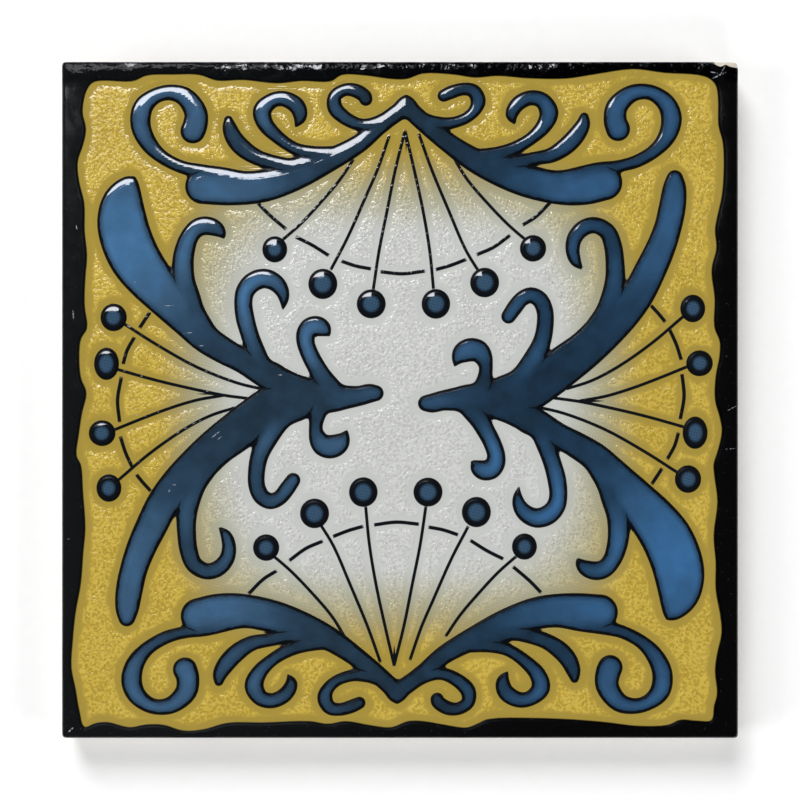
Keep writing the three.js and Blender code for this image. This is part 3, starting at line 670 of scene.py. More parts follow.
@dataclass
class TileBlank:
    """The closed tile before its face is pressed: face, sides, foot and back, in millimetres."""

    grid: FaceGrid
    keys: BackKeys
    foot_chamfer: float = 0.35
    side_levels: tuple[float, ...] = (4.4, 2.4, 0.35)

    def build(self, name: str) -> bpy.types.Object:
        """Make the mesh and put it in the scene.

        Args:
            name: the name of the object.

        Returns:
            The new object, in metres.
        """
        points = [np.stack([self.grid.x.ravel(), self.grid.y.ravel(), self.grid.z.ravel()], axis=1)]
        quads, smooth = self._sides(points, self._face())
        polygons = [tuple(map(int, quad)) for quad in quads]
        polygons += self._back(points)
        mesh = bpy.data.meshes.new(name)
        mesh.from_pydata((np.vstack(points) * MM).tolist(), [], polygons)
        mesh.polygons.foreach_set("use_smooth", np.arange(len(polygons)) < smooth)
        mesh.validate()
        piece = bpy.data.objects.new(name, mesh)
        bpy.context.scene.collection.objects.link(piece)
        return piece

    def _face(self) -> np.ndarray:
        """Return the quads of the face, facing up."""
        count = self.grid.count
        number = np.arange(count**2).reshape(count, count)
        return np.stack(
            [number[:-1, :-1], number[1:, :-1], number[1:, 1:], number[:-1, 1:]], axis=-1).reshape(-1, 4)

    def _sides(self, points: list[np.ndarray], face: np.ndarray) -> tuple[np.ndarray, int]:
        """Add the sides and the chamfer at the foot.

        Args:
            points: the points so far, which grow.
            face: the quads of the face.

        Returns:
            All quads so far, and how many of them are shaded smooth.
        """
        rim = self.grid.rim()
        edge = points[0][rim]
        rows = [rim]
        for level in (*self.side_levels, 0.0):
            inset = 0.0 if level else self.foot_chamfer
            row = edge * (1 - 2 * inset / self.grid.side)
            row[:, 2] = level
            rows.append(sum(map(len, points)) + np.arange(len(rim)))
            points.append(row)
        strips = [
            np.stack([lower, np.roll(lower, -1), np.roll(upper, -1), upper], axis=1)
            for upper, lower in zip(rows, rows[1:])]
        return np.vstack([face, *strips]), len(face) + sum(map(len, strips[:-1]))

    def _back(self, points: list[np.ndarray]) -> list[tuple[int, ...]]:
        """Add the rim, ribs and pockets of the back, facing down.

        Args:
            points: the points so far, which grow.

        Returns:
            The new polygons.
        """
        last = self.grid.count - 1
        foot = sum(map(len, points)) - 4 * last
        outer = [foot + number for number in range(4 * last)]
        lines = self.keys.lines(self.grid.side)
        size = len(lines)
        start = foot + 4 * last
        points.append(np.array([(x, y, 0.0) for x in lines for y in lines]))
        number = (start + np.arange(size**2)).reshape(size, size).tolist()
        inner = (
            [column[0] for column in number[:-1]] + number[-1][:-1]
            + [column[-1] for column in number[:0:-1]] + number[0][:0:-1])
        polygons = []
        for corner in range(4):
            far = [outer[(corner * last + step) % len(outer)] for step in range(last + 1)]
            near = [inner[(corner * (size - 1) + step) % len(inner)] for step in range(size)]
            polygons.append(tuple(reversed(far + near[::-1])))
        for column in range(size - 1):
            for row in range(size - 1):
                spots = [(column, row), (column + 1, row), (column + 1, row + 1), (column, row + 1)]
                ring = [number[c][r] for c, r in spots]
                if column % 2 == 0 and row % 2 == 0:
                    corners = np.array([(lines[c], lines[r]) for c, r in spots])
                    ring = self._pocket(points, corners, ring, polygons)
                polygons.append(tuple(reversed(ring)))
        return polygons

    def _pocket(
        self, points: list[np.ndarray], corners: np.ndarray, ring: list[int], polygons: list[tuple[int, ...]]
    ) -> list[int]:
        """Sink one pocket.

        Args:
            points: the points so far, which grow.
            corners: the corners of the pocket's mouth.
            ring: the numbers of those corners.
            polygons: the polygons so far, which grow by the walls.

        Returns:
            The numbers of the floor's corners.
        """
        inward = np.sign(corners.mean(axis=0) - corners)
        for inset, level in self.keys.rings:
            first = sum(map(len, points))
            points.append(np.column_stack([corners + inset * inward, np.full(4, level)]))
            above = [first + step for step in range(4)]
            polygons += [
                (ring[step], above[step], above[(step + 1) % 4], ring[(step + 1) % 4]) for step in range(4)]
            ring = above
        return ring


def linear(code: str) -> tuple[float, float, float, float]:
    """Turn an sRGB hex colour to a linear one with full opacity."""
    parts = [int(code[place:place + 2], 16) / 255 for place in (1, 3, 5)]
    return (*(part / 12.92 if part <= 0.04045 else ((part + 0.055) / 1.055) ** 2.4 for part in parts), 1.0)


# The node types that come up often, and the settings of two of them: a range that eases in and out at its ends,
# and a mix of colours, whose colours go in at numbers 6 and 7 and come out at number 2.
MATH, NOISE, RANGE, MIX, SPLIT = (
    "ShaderNodeMath", "ShaderNodeTexNoise", "ShaderNodeMapRange", "ShaderNodeMix", "ShaderNodeSeparateXYZ")
SOFT = {"interpolation_type": "SMOOTHSTEP"}
LAYER = {"output": 2, "data_type": "RGBA"}


def add_node(
    tree: bpy.types.NodeTree, kind: str, inputs: tuple | dict = (), output: int | str = 0, **settings: Input
) -> bpy.types.NodeSocket | None:
    """Add a node with its settings, and set or link its inputs.

    Args:
        tree: the tree that the node goes into.
        kind: the node's type.
        inputs: a value or another node's output for each input, in their order, or by name or place.
        output: the name or place of the output that is wanted.
        settings: the node's own settings.

    Returns:
        That output, or None from a node that ends a tree.
    """
    node = tree.nodes.new(kind)
    for setting, value in settings.items():
        setattr(node, setting, value)
    for place, value in (inputs if isinstance(inputs, dict) else dict(enumerate(inputs))).items():
        if isinstance(value, bpy.types.NodeSocket):
            tree.links.new(value, node.inputs[place])
        else:
            node.inputs[place].default_value = value
    return node.outputs[output] if node.outputs else None


class Pattern(Enum):
    """The random patterns, each with the width of its patches in millimetres and its detail.

    Real clay is finer than GRIT, which is drawn as coarse as it needs to show.
    """

    GROUND = (7.0, 3.0)
    PEBBLES = (0.44, 1.5)
    CLOUDS = (2.6, 4.0)
    UNEVEN_INK = (0.9, 2.0)
    DUST = (0.35, 2.0)
    GLAZE_EDGE = (5.0, 4.0)
    STAINS = (9.0, 8.0)
    SWELLS = (2.2, 2.0)
    GRIT = (0.3, 3.0)
    RIPPLES = (1.8, 3.0)
    INK_BEADS = (0.55, 0.0)
    DULL_PATCHES = (2.4, 3.0)
    WORN_GLOSS = (1.5, 4.0)
    CARD = (2.0, 3.0)

    def on(self, place: bpy.types.NodeSocket, roughness: float = 0.5) -> dict[str, Input]:
        """Return the inputs that lay the pattern on a surface."""
        size, detail = self.value
        return {"Vector": place, "Scale": 1 / (size * MM), "Detail": detail, "Roughness": roughness}


class Passage(Enum):
    """Soft passages: where each starts and ends, and any levels there other than 0 and 1.

    Distances and places are in metres, offsets from a line in its half widths, and the rest are shares.
    """

    SMOOTH_MOAT = (0.85, 0.0)
    GRAINS = (0.35, 0.62)
    BLUE_SWELL = (-0.3 * MM, -1.3 * MM, 0.42, 0.97)
    SCREEN_STRENGTH = (0.12, 0.45, 0.01, 0.035)
    RIGHT_HALF = (-8 * MM, 22 * MM)
    BEAD_HEART = (-0.7 * MM, -1.3 * MM)
    BEAD_DOME = (-0.2 * MM, -1.5 * MM)
    LINE_EDGE = (1.35, 0.95)
    LINE_CREST = (1.4, 0.0)
    LINE_INK_BEADS = (0.44, 0.62)
    CREASED_BODY = (0.0, -0.2 * MM)
    SCUFFED_LEFT = (30 * MM, -46 * MM)
    DUST_SPECKS = (0.68, 0.8, 0.0, 0.1)
    BROKEN_SCRATCH = (0.4, 0.58)
    CHIPPED = (0.05 * MM, -0.1 * MM)
    STAINED = (0.45, 0.8)
    CREPT_GLAZE = (46 * MM, 49 * MM)
    UPPER_BORDER = (46.5 * MM, 47.5 * MM)
    DULL_PATCHES = (0.6, 0.52)
    DULL_CORNER = (-38 * MM, -42 * MM)
    WORN_GLOSS = (0.3, 0.75)

    def of(self, value: bpy.types.NodeSocket, *levels: float) -> tuple[Input, ...]:
        """Return the inputs that take a value through the passage."""
        return (value, *self.value, *levels)


@dataclass(frozen=True)
class ReliefPress:
    """The rule that presses the face: a Geometry Nodes tree with its sizes in metres as named inputs.

    The flank is pressed as wide as the mesh can carry, and the glaze sharpens it to its true section.
    """

    relief_height: float = 0.6 * MM
    flank_outer: float = 0.9 * MM
    flank_inner: float = 1.3 * MM
    ridge_height: float = 0.1 * MM
    ridge_flank: float = 0.62 * MM
    moat_inner: float = 0.6 * MM
    moat_outer: float = 1.65 * MM
    bank_height: float = 0.1 * MM
    waver: float = 0.6 * MM
    waver_size: float = 2.2 * MM
    lump_height: float = 0.08 * MM
    lump_size: float = 1.8 * MM
    chip_depth: float = 0.4 * MM
    chip_flank: float = 0.3 * MM
    seed: float = 4.7

    def press(self, piece: bpy.types.Object, material: bpy.types.Material) -> None:
        """Press the face of a blank, and turn the result into its plain mesh.

        Args:
            piece: the blank, with its distances stored.
            material: the finish that the tree sets.
        """
        tree = self._tree(material)
        modifier = piece.modifiers.new("relief press", "NODES")
        modifier.node_group = tree
        sizes = {name.replace("_", " "): value for name, value in vars(self).items()}
        for socket in tree.interface.items_tree:
            if socket.in_out == "INPUT" and socket.name in sizes:
                modifier[socket.identifier] = sizes[socket.name]
        depsgraph = bpy.context.evaluated_depsgraph_get()
        pressed = bpy.data.meshes.new_from_object(
            piece.evaluated_get(depsgraph), preserve_all_data_layers=True, depsgraph=depsgraph)
        pressed.name = piece.name
        piece.modifiers.remove(modifier)
        blank, piece.data = piece.data, pressed
        bpy.data.meshes.remove(blank)

    def _tree(self, material: bpy.types.Material) -> bpy.types.NodeTree:
        """Build the tree.

        Args:
            material: the finish that it sets.

        Returns:
            The tree.
        """
        tree = bpy.data.node_groups.new("relief press", "GeometryNodeTree")
        tree.interface.new_socket("Geometry", in_out="INPUT", socket_type="NodeSocketGeometry")
        for name in vars(self):
            tree.interface.new_socket(name.replace("_", " "), in_out="INPUT", socket_type="NodeSocketFloat")
        tree.interface.new_socket("Geometry", in_out="OUTPUT", socket_type="NodeSocketGeometry")
        given = tree.nodes.new("NodeGroupInput").outputs
        add = partial(add_node, tree)
        stored = {
            name: add("GeometryNodeInputNamedAttribute", (f"{name}_distance",), data_type="FLOAT")
            for name in ("raised", "ridge", "chip")}

        raised = self._level(add, stored["raised"], given["flank outer"], given["flank inner"], given["relief height"])
        ridge = self._level(add, stored["ridge"], given["ridge flank"], 0.0, given["ridge height"])
        height = add(MATH, (raised, ridge), operation="MAXIMUM")
        # A smooth moat runs round every form, and the pebbled ground beyond it stands a little higher, with
        # a wavering bank and soft lumps.
        away = add(MATH, (stored["raised"], stored["ridge"]), operation="MINIMUM")
        away = add(MATH, (away, self._swell(add, given, "waver size", "waver")), operation="ADD")
        pebbled = add(RANGE, (away, given["moat inner"], given["moat outer"]), **SOFT)
        lumps = self._swell(add, given, "lump size", "lump height")
        bank = add(MATH, (lumps, given["bank height"]), operation="ADD")
        bank = add(MATH, (bank, pebbled), operation="MULTIPLY")
        sunk = add(MATH, (height, given["relief height"]), operation="SUBTRACT")
        sunk = add(MATH, (sunk, bank), operation="ADD")
        chip = self._level(add, stored["chip"], 0.0, given["chip flank"], given["chip depth"])
        sunk = add(MATH, (sunk, chip), operation="SUBTRACT")

        kept = add(
            "GeometryNodeStoreNamedAttribute",
            {"Geometry": given["Geometry"], "Name": "pebbled_share", "Value": pebbled},
            data_type="FLOAT", domain="POINT")
        offset = add("ShaderNodeCombineXYZ", {"Z": sunk})
        moved = add("GeometryNodeSetPosition", {"Geometry": kept, "Offset": offset})
        real = add("GeometryNodeRealizeInstances", {"Geometry": moved})
        dressed = add("GeometryNodeSetMaterial", {"Geometry": real, "Material": material})
        add("NodeGroupOutput", {"Geometry": dressed})
        return tree

    def _swell(self, add: AddNode, given: bpy.types.NodeOutputs, size: str, height: str) -> bpy.types.NodeSocket:
        """Add a soft random swell about nought.

        Args:
            add: adds a node to the tree.
            given: the tree's inputs.
            size: the input with the width of the swells.
            height: the input with their height, up and down.

        Returns:
            The swell's height.
        """
        often = add(MATH, (1.0, given[size]), operation="DIVIDE")
        place = add("GeometryNodeInputPosition")
        noise = add(
            NOISE, {"Vector": place, "W": given["seed"], "Scale": often, "Detail": 1.0}, "Fac",
            noise_dimensions="4D")
        centred = add(MATH, (noise, 0.5), operation="SUBTRACT")
        both_ways = add(MATH, (given[height], 2.0), operation="MULTIPLY")
        return add(MATH, (centred, both_ways), operation="MULTIPLY")

    def _level(
        self, add: AddNode, distance: bpy.types.NodeSocket, outer: Input, inner: Input, height: Input
    ) -> bpy.types.NodeSocket:
        """Add the height of one group of rounded forms from the distance to them.

        Args:
            add: adds a node to the tree.
            distance: the stored distance.
            outer: how far the flank spreads outside the edge.
            inner: how far it reaches inside the edge.
            height: the full height.

        Returns:
            The height.
        """
        crown = add(MATH, (0.0, inner), operation="SUBTRACT")
        return add(RANGE, (distance, outer, crown, 0.0, height), **SOFT)


@dataclass(frozen=True)
class GlazedPrint:
    """White earthenware, pressed, printed in ceramic inks through a screen and covered with clear lead-free glaze.

    The glaze gives sharp wet-looking highlights over flat inks, the pressed ground gives a pebbly sparkle, and
    the bare clay of the back, the lower sides and the chip is chalky and matt. Sizes are in metres. The ground
    colours are those of its pits, its grains and its smooth moats: the pits and the moats are painted darker than
    the grains, as painted shade in the hollows and round the raised forms, and the grains as painted light.
    """

    yellow: tuple[str, str, str] = ("#ab9138", "#c7ac4b", "#a18b3c")
    white: tuple[str, str, str] = ("#bcbdbb", "#cbccca", "#bfc1be")
    blue_ramp: tuple[tuple[float, str], ...] = (
        (0.0, "#1b2b38"), (0.3, "#294259"), (0.6, "#385673"), (0.85, "#406a92"), (1.0, "#4a77a2"))
    ink_black: str = "#0b0f14"
    border_black: str = "#010102"
    border_veil: str = "#0e1012"
    fade_tint: str = "#eaefe8"
    right_tint: str = "#d6edfa"
    bead_heart: str = "#38546e"
    clay: str = "#cfc8ba"
    clay_stain: str = "#a39a8a"
    scuff: str = "#aab0b8"
    fade_unit: float = 40 * MM
    fade_squash: float = 1.04
    fade_start: float = 23.5 * MM
    fade_end: float = 38 * MM
    fade_screen: float = 0.5
    patch_strength: float = 1.2
    cloud_strength: float = 0.36
    heart_screen: float = 0.2
    crease_core: float = 0.15
    pinhole_core: float = 0.5
    scratch_core: float = 0.3
    outline_width: float = 0.44 * MM
    outline_waver: float = 0.36 * MM
    outline_soft: float = 0.17 * MM
    print_soft: float = 0.05 * MM
    ink_soft: float = 0.12 * MM
    glaze_soft: float = 0.15 * MM
    screen_pitch: float = 0.43 * MM
    screen_turn: float = math.radians(14)
    grain_height: float = 0.36 * MM
    grain_level: float = 0.4
    pressed: ReliefPress = ReliefPress()
    fall_outer: float = 0.04 * MM
    fall_inner: float = 0.42 * MM
    fall_height: float = 0.38 * MM
    shoulder_inner: float = 1.67 * MM
    shoulder_height: float = 0.2 * MM
    dome_height: float = 0.07 * MM
    ridge_height: float = 0.028 * MM
    swell_height: float = 0.035 * MM
    grit_height: float = 0.06 * MM
    ripple_height: float = 0.55 * MM
    ior: float = 1.52
    gloss: float = 0.5
    ink_gloss_loss: float = 0.44
    thin_glaze: float = 0.37
    worn_gloss_loss: float = 0.9
    glaze_roughness: tuple[float, float] = (0.049, 0.112)
    border_roughness: float = 0.08
    ink_roughness: float = 0.25
    clay_roughness: float = 0.8
    glaze_level: float = 4.7 * MM
    glaze_raggedness: float = 2.6 * MM

    def make(self) -> bpy.types.Material:
        """Build and return the material."""
        material = bpy.data.materials.new("glazed printed earthenware")
        material.use_nodes = True
        material.node_tree.nodes.clear()
        PrintLayers(self, partial(add_node, material.node_tree)).dress()
        return material


@dataclass
class PrintLayers:
    """The layers of a glazed print, from the ground up: each takes the colour below it and gives the colour above."""

    finish: GlazedPrint
    add: AddNode
    place: bpy.types.NodeSocket = field(init=False)
    x: bpy.types.NodeSocket = field(init=False)
    y: bpy.types.NodeSocket = field(init=False)
    z: bpy.types.NodeSocket = field(init=False)
    scroll: bpy.types.NodeSocket = field(init=False)
    bead: bpy.types.NodeSocket = field(init=False)
    border: bpy.types.NodeSocket = field(init=False)
    raised: bpy.types.NodeSocket = field(init=False)
    chip: bpy.types.NodeSocket = field(init=False)
    tone: bpy.types.NodeSocket = field(init=False)
    pebbled: bpy.types.NodeSocket = field(init=False)
    lines: list[tuple[bpy.types.NodeSocket, bpy.types.NodeSocket]] = field(init=False)
    printed_border: bpy.types.NodeSocket = field(init=False)
    grain: bpy.types.NodeSocket = field(init=False)
    screen: bpy.types.NodeSocket = field(init=False)
    bare: bpy.types.NodeSocket = field(init=False)
    ink: bpy.types.NodeSocket = field(init=False)

    def __post_init__(self) -> None:
        """Read the place on the tile and the stored distances, and find what several layers share."""
        add, print_soft = self.add, self.finish.print_soft
        self.place = add("ShaderNodeTexCoord", output="Object")
        self.x, self.y, self.z = (add(SPLIT, (self.place,), axis) for axis in range(3))
        names = [f"{form}_distance" for form in ("scroll", "bead", "border", "raised", "chip")]
        names += ["blue_tone", "pebbled_share"]
        self.scroll, self.bead, self.border, self.raised, self.chip, self.tone, self.pebbled = (
            add("ShaderNodeAttribute", output="Fac", attribute_name=name) for name in names)
        self.lines = []
        for kind in LineKind:
            offset, gate = (
                add("ShaderNodeAttribute", output="Fac", attribute_name=f"{kind.name.lower()}_{value}")
                for value in ("offset", "gate"))
            away = add(MATH, (offset,), operation="ABSOLUTE")
            run = add(RANGE, (gate, 2 * print_soft, -2 * print_soft), **SOFT)
            self.lines.append((away, run))
        self.printed_border = add(RANGE, (self.border, 2 * print_soft, -2 * print_soft), **SOFT)
        self.grain = add(NOISE, Pattern.PEBBLES.on(self.place, roughness=0.45), "Fac")
        self.screen = self._screen()
        self.bare = self._bare()
        self.ink = self._ink()

    def dress(self) -> None:
        """Lay all the layers and end the tree with the shader."""
        colour = self._ground()
        for layer in (self._scrolls, self._beads, self._lines, self._creases, self._border, self._wear, self._clay):
            colour = layer(colour)
        normal = self.add("ShaderNodeBump", {"Height": self._heights(), "Distance": 1.0, "Strength": 1.0})
        shader = self.add(
            "ShaderNodeBsdfPrincipled",
            {"Base Color": colour, "Roughness": self._roughness(), "IOR": self.finish.ior,
             "Specular IOR Level": self._gloss(), "Normal": normal})
        self.add("ShaderNodeOutputMaterial", (shader,))

    def _screen(self) -> bpy.types.NodeSocket:
        """Make and return the printing screen: rows of soft dots, from -1 to 1, at the pitch of the print."""
        turned = self.add(
            "ShaderNodeMapping",
            {"Vector": self.place, "Rotation": (0, 0, self.finish.screen_turn),
             "Scale": (2 * math.pi / self.finish.screen_pitch,) * 3})
        waves = [self.add(MATH, (self.add(SPLIT, (turned,), axis),), operation="SINE") for axis in range(2)]
        return self.add(MATH, (self.add(MATH, tuple(waves), operation="ADD"), 0.5), operation="MULTIPLY")

    def _bare(self) -> bpy.types.NodeSocket:
        """Find where the clay is bare: below the ragged edge of the glaze on the sides, and in the chip.

        Returns:
            The share of bare clay.
        """
        add, finish, soft = self.add, self.finish, self.finish.glaze_soft
        ragged = add(NOISE, Pattern.GLAZE_EDGE.on(self.place), "Fac")
        level = add(MATH, (ragged, finish.glaze_raggedness, self.z), operation="MULTIPLY_ADD")
        low = add(RANGE, (level, finish.glaze_level + soft, finish.glaze_level - soft), **SOFT)
        chip = add(RANGE, Passage.CHIPPED.of(self.chip), **SOFT)
        return add(MATH, (low, chip), operation="MAXIMUM")

    def _ink(self) -> bpy.types.NodeSocket:
        """Find and return the band of ink along the edge of every raised form."""
        soft, inner = self.finish.ink_soft, -self.finish.fall_inner
        inside = self.add(RANGE, (self.raised, inner, inner - soft), **SOFT)
        ink = self.add(RANGE, (self.raised, soft, 0.0), **SOFT)
        return self.add(MATH, (ink, inside), operation="SUBTRACT", use_clamp=True)

    def _ground(self) -> bpy.types.NodeSocket:
        """Print the ground: white in the middle, fading through screen dots to yellow outside, with painted shade in
        its pits and smooth moats and painted light on its grains.

        Returns:
            The colour.
        """
        add, finish = self.add, self.finish
        # The middle is a rounded square: along its edge, the fourth powers of x and y add up to one value.
        fourths = []
        for value, unit in ((self.x, finish.fade_unit / finish.fade_squash), (self.y, finish.fade_unit)):
            value = add(MATH, (value, 1 / unit), operation="MULTIPLY")
            for _ in range(2):
                value = add(MATH, (value, value), operation="MULTIPLY")
            fourths.append(value)
        squarish = add(MATH, (add(MATH, tuple(fourths), operation="ADD"), 0.25), operation="POWER")
        fade = add(
            RANGE, (squarish, finish.fade_start / finish.fade_unit, finish.fade_end / finish.fade_unit), **SOFT)
        middle = add(MATH, (add(MATH, (1.0, fade), operation="SUBTRACT"), fade), operation="MULTIPLY")
        dots = add(MATH, (self.screen, middle), operation="MULTIPLY")
        fade = add(MATH, (dots, finish.fade_screen, fade), operation="MULTIPLY_ADD", use_clamp=True)
        smooth = add(RANGE, Passage.SMOOTH_MOAT.of(self.pebbled), **SOFT)
        patches = add(NOISE, Pattern.GROUND.on(self.place), "Fac")
        patches = add(MATH, (patches, finish.patch_strength, -finish.patch_strength / 2), operation="MULTIPLY_ADD")
        grained = add(RANGE, Passage.GRAINS.of(self.grain), **SOFT)
        grained = add(MATH, (grained, patches), operation="ADD", use_clamp=True)
        # The pits and the smooth moats are painted darker than the grains: painted shade in the hollows of the pebbled
        # ground and round the raised forms, and painted light on the grains.
        grounds = []
        for shaded_pit_colour, lit_grain_colour, shaded_moat_colour in (finish.white, finish.yellow):
            ground = add(MIX, {0: grained, 6: linear(shaded_pit_colour), 7: linear(lit_grain_colour)}, **LAYER)
            grounds.append(add(MIX, {0: smooth, 6: ground, 7: linear(shaded_moat_colour)}, **LAYER))
        faded = add(MIX, {0: fade, 6: grounds[0], 7: grounds[1]}, **LAYER)
        middle = add(MATH, (middle, 4.0), operation="MULTIPLY", use_clamp=True)
        return add(MIX, {0: middle, 6: faded, 7: linear(finish.fade_tint)}, blend_type="MULTIPLY", **LAYER)

    def _scrolls(self, under: Input) -> bpy.types.NodeSocket:
        """Print the scrolls: blue that lightens along and across each stroke, with a black outline.

        Args:
            under: the colour below.

        Returns:
            The colour.
        """
        add, finish = self.add, self.finish
        swell = add(RANGE, Passage.BLUE_SWELL.of(self.scroll), **SOFT)
        tone = add(MATH, (self.tone, swell), operation="MULTIPLY")
        cloud = add(NOISE, Pattern.CLOUDS.on(self.place), "Fac")
        cloud = add(MATH, (cloud, finish.cloud_strength, -finish.cloud_strength / 2), operation="MULTIPLY_ADD")
        tone = add(MATH, (tone, cloud), operation="ADD")
        strength = add(RANGE, Passage.SCREEN_STRENGTH.of(tone), **SOFT)
        tone = add(MATH, (self.screen, strength, tone), operation="MULTIPLY_ADD")
        blue = add("ShaderNodeValToRGB", (tone,), "Color")
        stops = blue.node.color_ramp.elements
        while len(stops) < len(finish.blue_ramp):
            stops.new(0.5)
        for stop, (position, code) in zip(stops, finish.blue_ramp):
            stop.position, stop.color = position, linear(code)
        # The right half took more of a purer blue.
        right = add(RANGE, Passage.RIGHT_HALF.of(self.x), **SOFT)
        blue = add(MIX, {0: right, 6: blue, 7: linear(finish.right_tint)}, blend_type="MULTIPLY", **LAYER)
        # The outline was printed a little unevenly.
        uneven = add(NOISE, Pattern.UNEVEN_INK.on(self.place), "Fac")
        least = finish.outline_width - finish.outline_waver / 2 - finish.print_soft
        uneven = add(MATH, (uneven, finish.outline_waver, least), operation="MULTIPLY_ADD")
        beyond = add(MATH, (self.scroll, uneven), operation="ADD")
        body = add(RANGE, (beyond, 0.0, -finish.outline_soft), **SOFT)
        inked = add(MIX, {0: body, 6: linear(finish.ink_black), 7: blue}, **LAYER)
        printed = add(RANGE, (self.scroll, finish.print_soft, -finish.print_soft), **SOFT)
        return add(MIX, {0: printed, 6: under, 7: inked}, **LAYER)

    def _beads(self, under: Input) -> bpy.types.NodeSocket:
        """Print the beads: black with a soft blue heart of screen dots.

        Args:
            under: the colour below.

        Returns:
            The colour.
        """
        add, finish = self.add, self.finish
        heart = add(RANGE, Passage.BEAD_HEART.of(self.bead), **SOFT)
        dots = add(MATH, (self.screen, finish.heart_screen, 1 - finish.heart_screen), operation="MULTIPLY_ADD")
        heart = add(MATH, (heart, dots), operation="MULTIPLY")
        inked = add(MIX, {0: heart, 6: linear(finish.ink_black), 7: linear(finish.bead_heart)}, **LAYER)
        printed = add(RANGE, (self.bead, finish.print_soft, -finish.print_soft), **SOFT)
        return add(MIX, {0: printed, 6: under, 7: inked}, **LAYER)

    def _lines(self, under: Input) -> bpy.types.NodeSocket:
        """Print the stems and dashes.

        Args:
            under: the colour below.

        Returns:
            The colour.
        """
        for away, run in self.lines:
            across = self.add(RANGE, Passage.LINE_EDGE.of(away), **SOFT)
            line = self.add(MATH, (across, run), operation="MULTIPLY")
            under = self.add(MIX, {0: line, 6: under, 7: linear(self.finish.ink_black)}, **LAYER)
        return under

    def _creases(self, under: Input) -> bpy.types.NodeSocket:
        """Draw the ink on into the bodies from the notches between strokes.

        Args:
            under: the colour below.

        Returns:
            The colour.
        """
        printed = self.add(RANGE, Passage.CREASED_BODY.of(self.scroll), **SOFT)
        creases = self._marks(Ornament().creases(), self.finish.crease_core)
        creases = self.add(MATH, (creases, printed), operation="MULTIPLY")
        return self.add(MIX, {0: creases, 6: under, 7: linear(self.finish.ink_black)}, **LAYER)

    def _border(self, under: Input) -> bpy.types.NodeSocket:
        """Print the black border, which wraps over the arris, with a painted sheen on its left side and faint painted
        glints.

        Args:
            under: the colour below.

        Returns:
            The colour.
        """
        add, finish = self.add, self.finish
        # Faint pale specks over the border are painted glints; the same pale colour also marks the real scratches.
        glint_specks = add(NOISE, Pattern.DUST.on(self.place), "Fac")
        glint_specks = add(RANGE, Passage.DUST_SPECKS.of(glint_specks), **SOFT)
        # The left side is painted a dull grey, a painted sheen of reflected light, and the right side is deep black.
        left = add(RANGE, Passage.SCUFFED_LEFT.of(self.x), **SOFT)
        inked = add(MIX, {0: left, 6: linear(finish.border_black), 7: linear(finish.border_veil)}, **LAYER)
        inked = add(MIX, {0: glint_specks, 6: inked, 7: linear(finish.scuff)}, **LAYER)
        return add(MIX, {0: self.printed_border, 6: under, 7: inked}, **LAYER)

    def _wear(self, under: Input) -> bpy.types.NodeSocket:
        """Open the pinholes and draw the scratches, which break up along their way.

        Args:
            under: the colour below.

        Returns:
            The colour.
        """
        add, finish = self.add, self.finish
        holes = self._marks(PINHOLES, finish.pinhole_core)
        holed = add(MIX, {0: holes, 6: under, 7: linear(finish.clay_stain)}, **LAYER)
        broken = add(NOISE, Pattern.DUST.on(self.place), "Fac")
        broken = add(RANGE, Passage.BROKEN_SCRATCH.of(broken), **SOFT)
        scratches = add(MATH, (self._marks(SCRATCHES, finish.scratch_core), broken), operation="MULTIPLY")
        return add(MIX, {0: scratches, 6: holed, 7: linear(finish.scuff)}, **LAYER)

    def _clay(self, under: Input) -> bpy.types.NodeSocket:
        """Show the bare clay, pale with faint stains.

        Args:
            under: the colour of the glazed parts.

        Returns:
            The colour.
        """
        stain = self.add(NOISE, Pattern.STAINS.on(self.place, roughness=0.7), "Fac")
        stain = self.add(RANGE, Passage.STAINED.of(stain), **SOFT)
        clay = self.add(
            MIX, {0: stain, 6: linear(self.finish.clay), 7: linear(self.finish.clay_stain)}, **LAYER)
        return self.add(MIX, {0: self.bare, 6: under, 7: clay}, **LAYER)

    def _marks(self, marks: list[Mark], core: float) -> bpy.types.NodeSocket:
        """Find a set of small long marks.

        Args:
            marks: the marks.
            core: the share of a mark's width that is full.

        Returns:
            The share of the marks.
        """
        shown = 0.0
        for mark in marks:
            local = self.add(
                "ShaderNodeMapping",
                {"Vector": self.place, "Location": (mark.x * MM, mark.y * MM, 0),
                 "Rotation": (0, 0, math.radians(mark.turn)), "Scale": (mark.length * MM, mark.width * MM, 1)},
                vector_type="TEXTURE")
            away = self.add("ShaderNodeVectorMath", (local,), "Value", operation="LENGTH")
            shown = self.add(MATH, (self.add(RANGE, (away, 1.0, core), **SOFT), shown), operation="MAXIMUM")
        return shown

    def _heights(self) -> bpy.types.NodeSocket:
        """Join the fine heights: the true section of the flanks, pebbles, slow swells and thin ridges.

        Returns:
            The height in metres.
        """
        add, finish, press = self.add, self.finish, self.finish.pressed
        # The pressed flank is taken away again, and a steep fall under the outline and a soft shoulder are added.
        pressed = add(RANGE, (self.raised, press.flank_outer, -press.flank_inner, 0.0, -press.relief_height), **SOFT)
        fall = add(RANGE, (self.raised, finish.fall_outer, -finish.fall_inner, 0.0, finish.fall_height), **SOFT)
        slack = add(RANGE, (self.raised, -finish.shoulder_inner, -finish.fall_inner))
        slack = add(MATH, (slack, slack), operation="MULTIPLY")
        dome = add(RANGE, Passage.BEAD_DOME.of(self.bead), **SOFT)
        grain = add(MATH, (self.grain, finish.grain_level), operation="SUBTRACT")
        grain = add(MATH, (grain, self.pebbled), operation="MULTIPLY")
        swells = add(NOISE, Pattern.SWELLS.on(self.place), "Fac")
        grit = add(MATH, (add(NOISE, Pattern.GRIT.on(self.place), "Fac"), self.bare), operation="MULTIPLY")
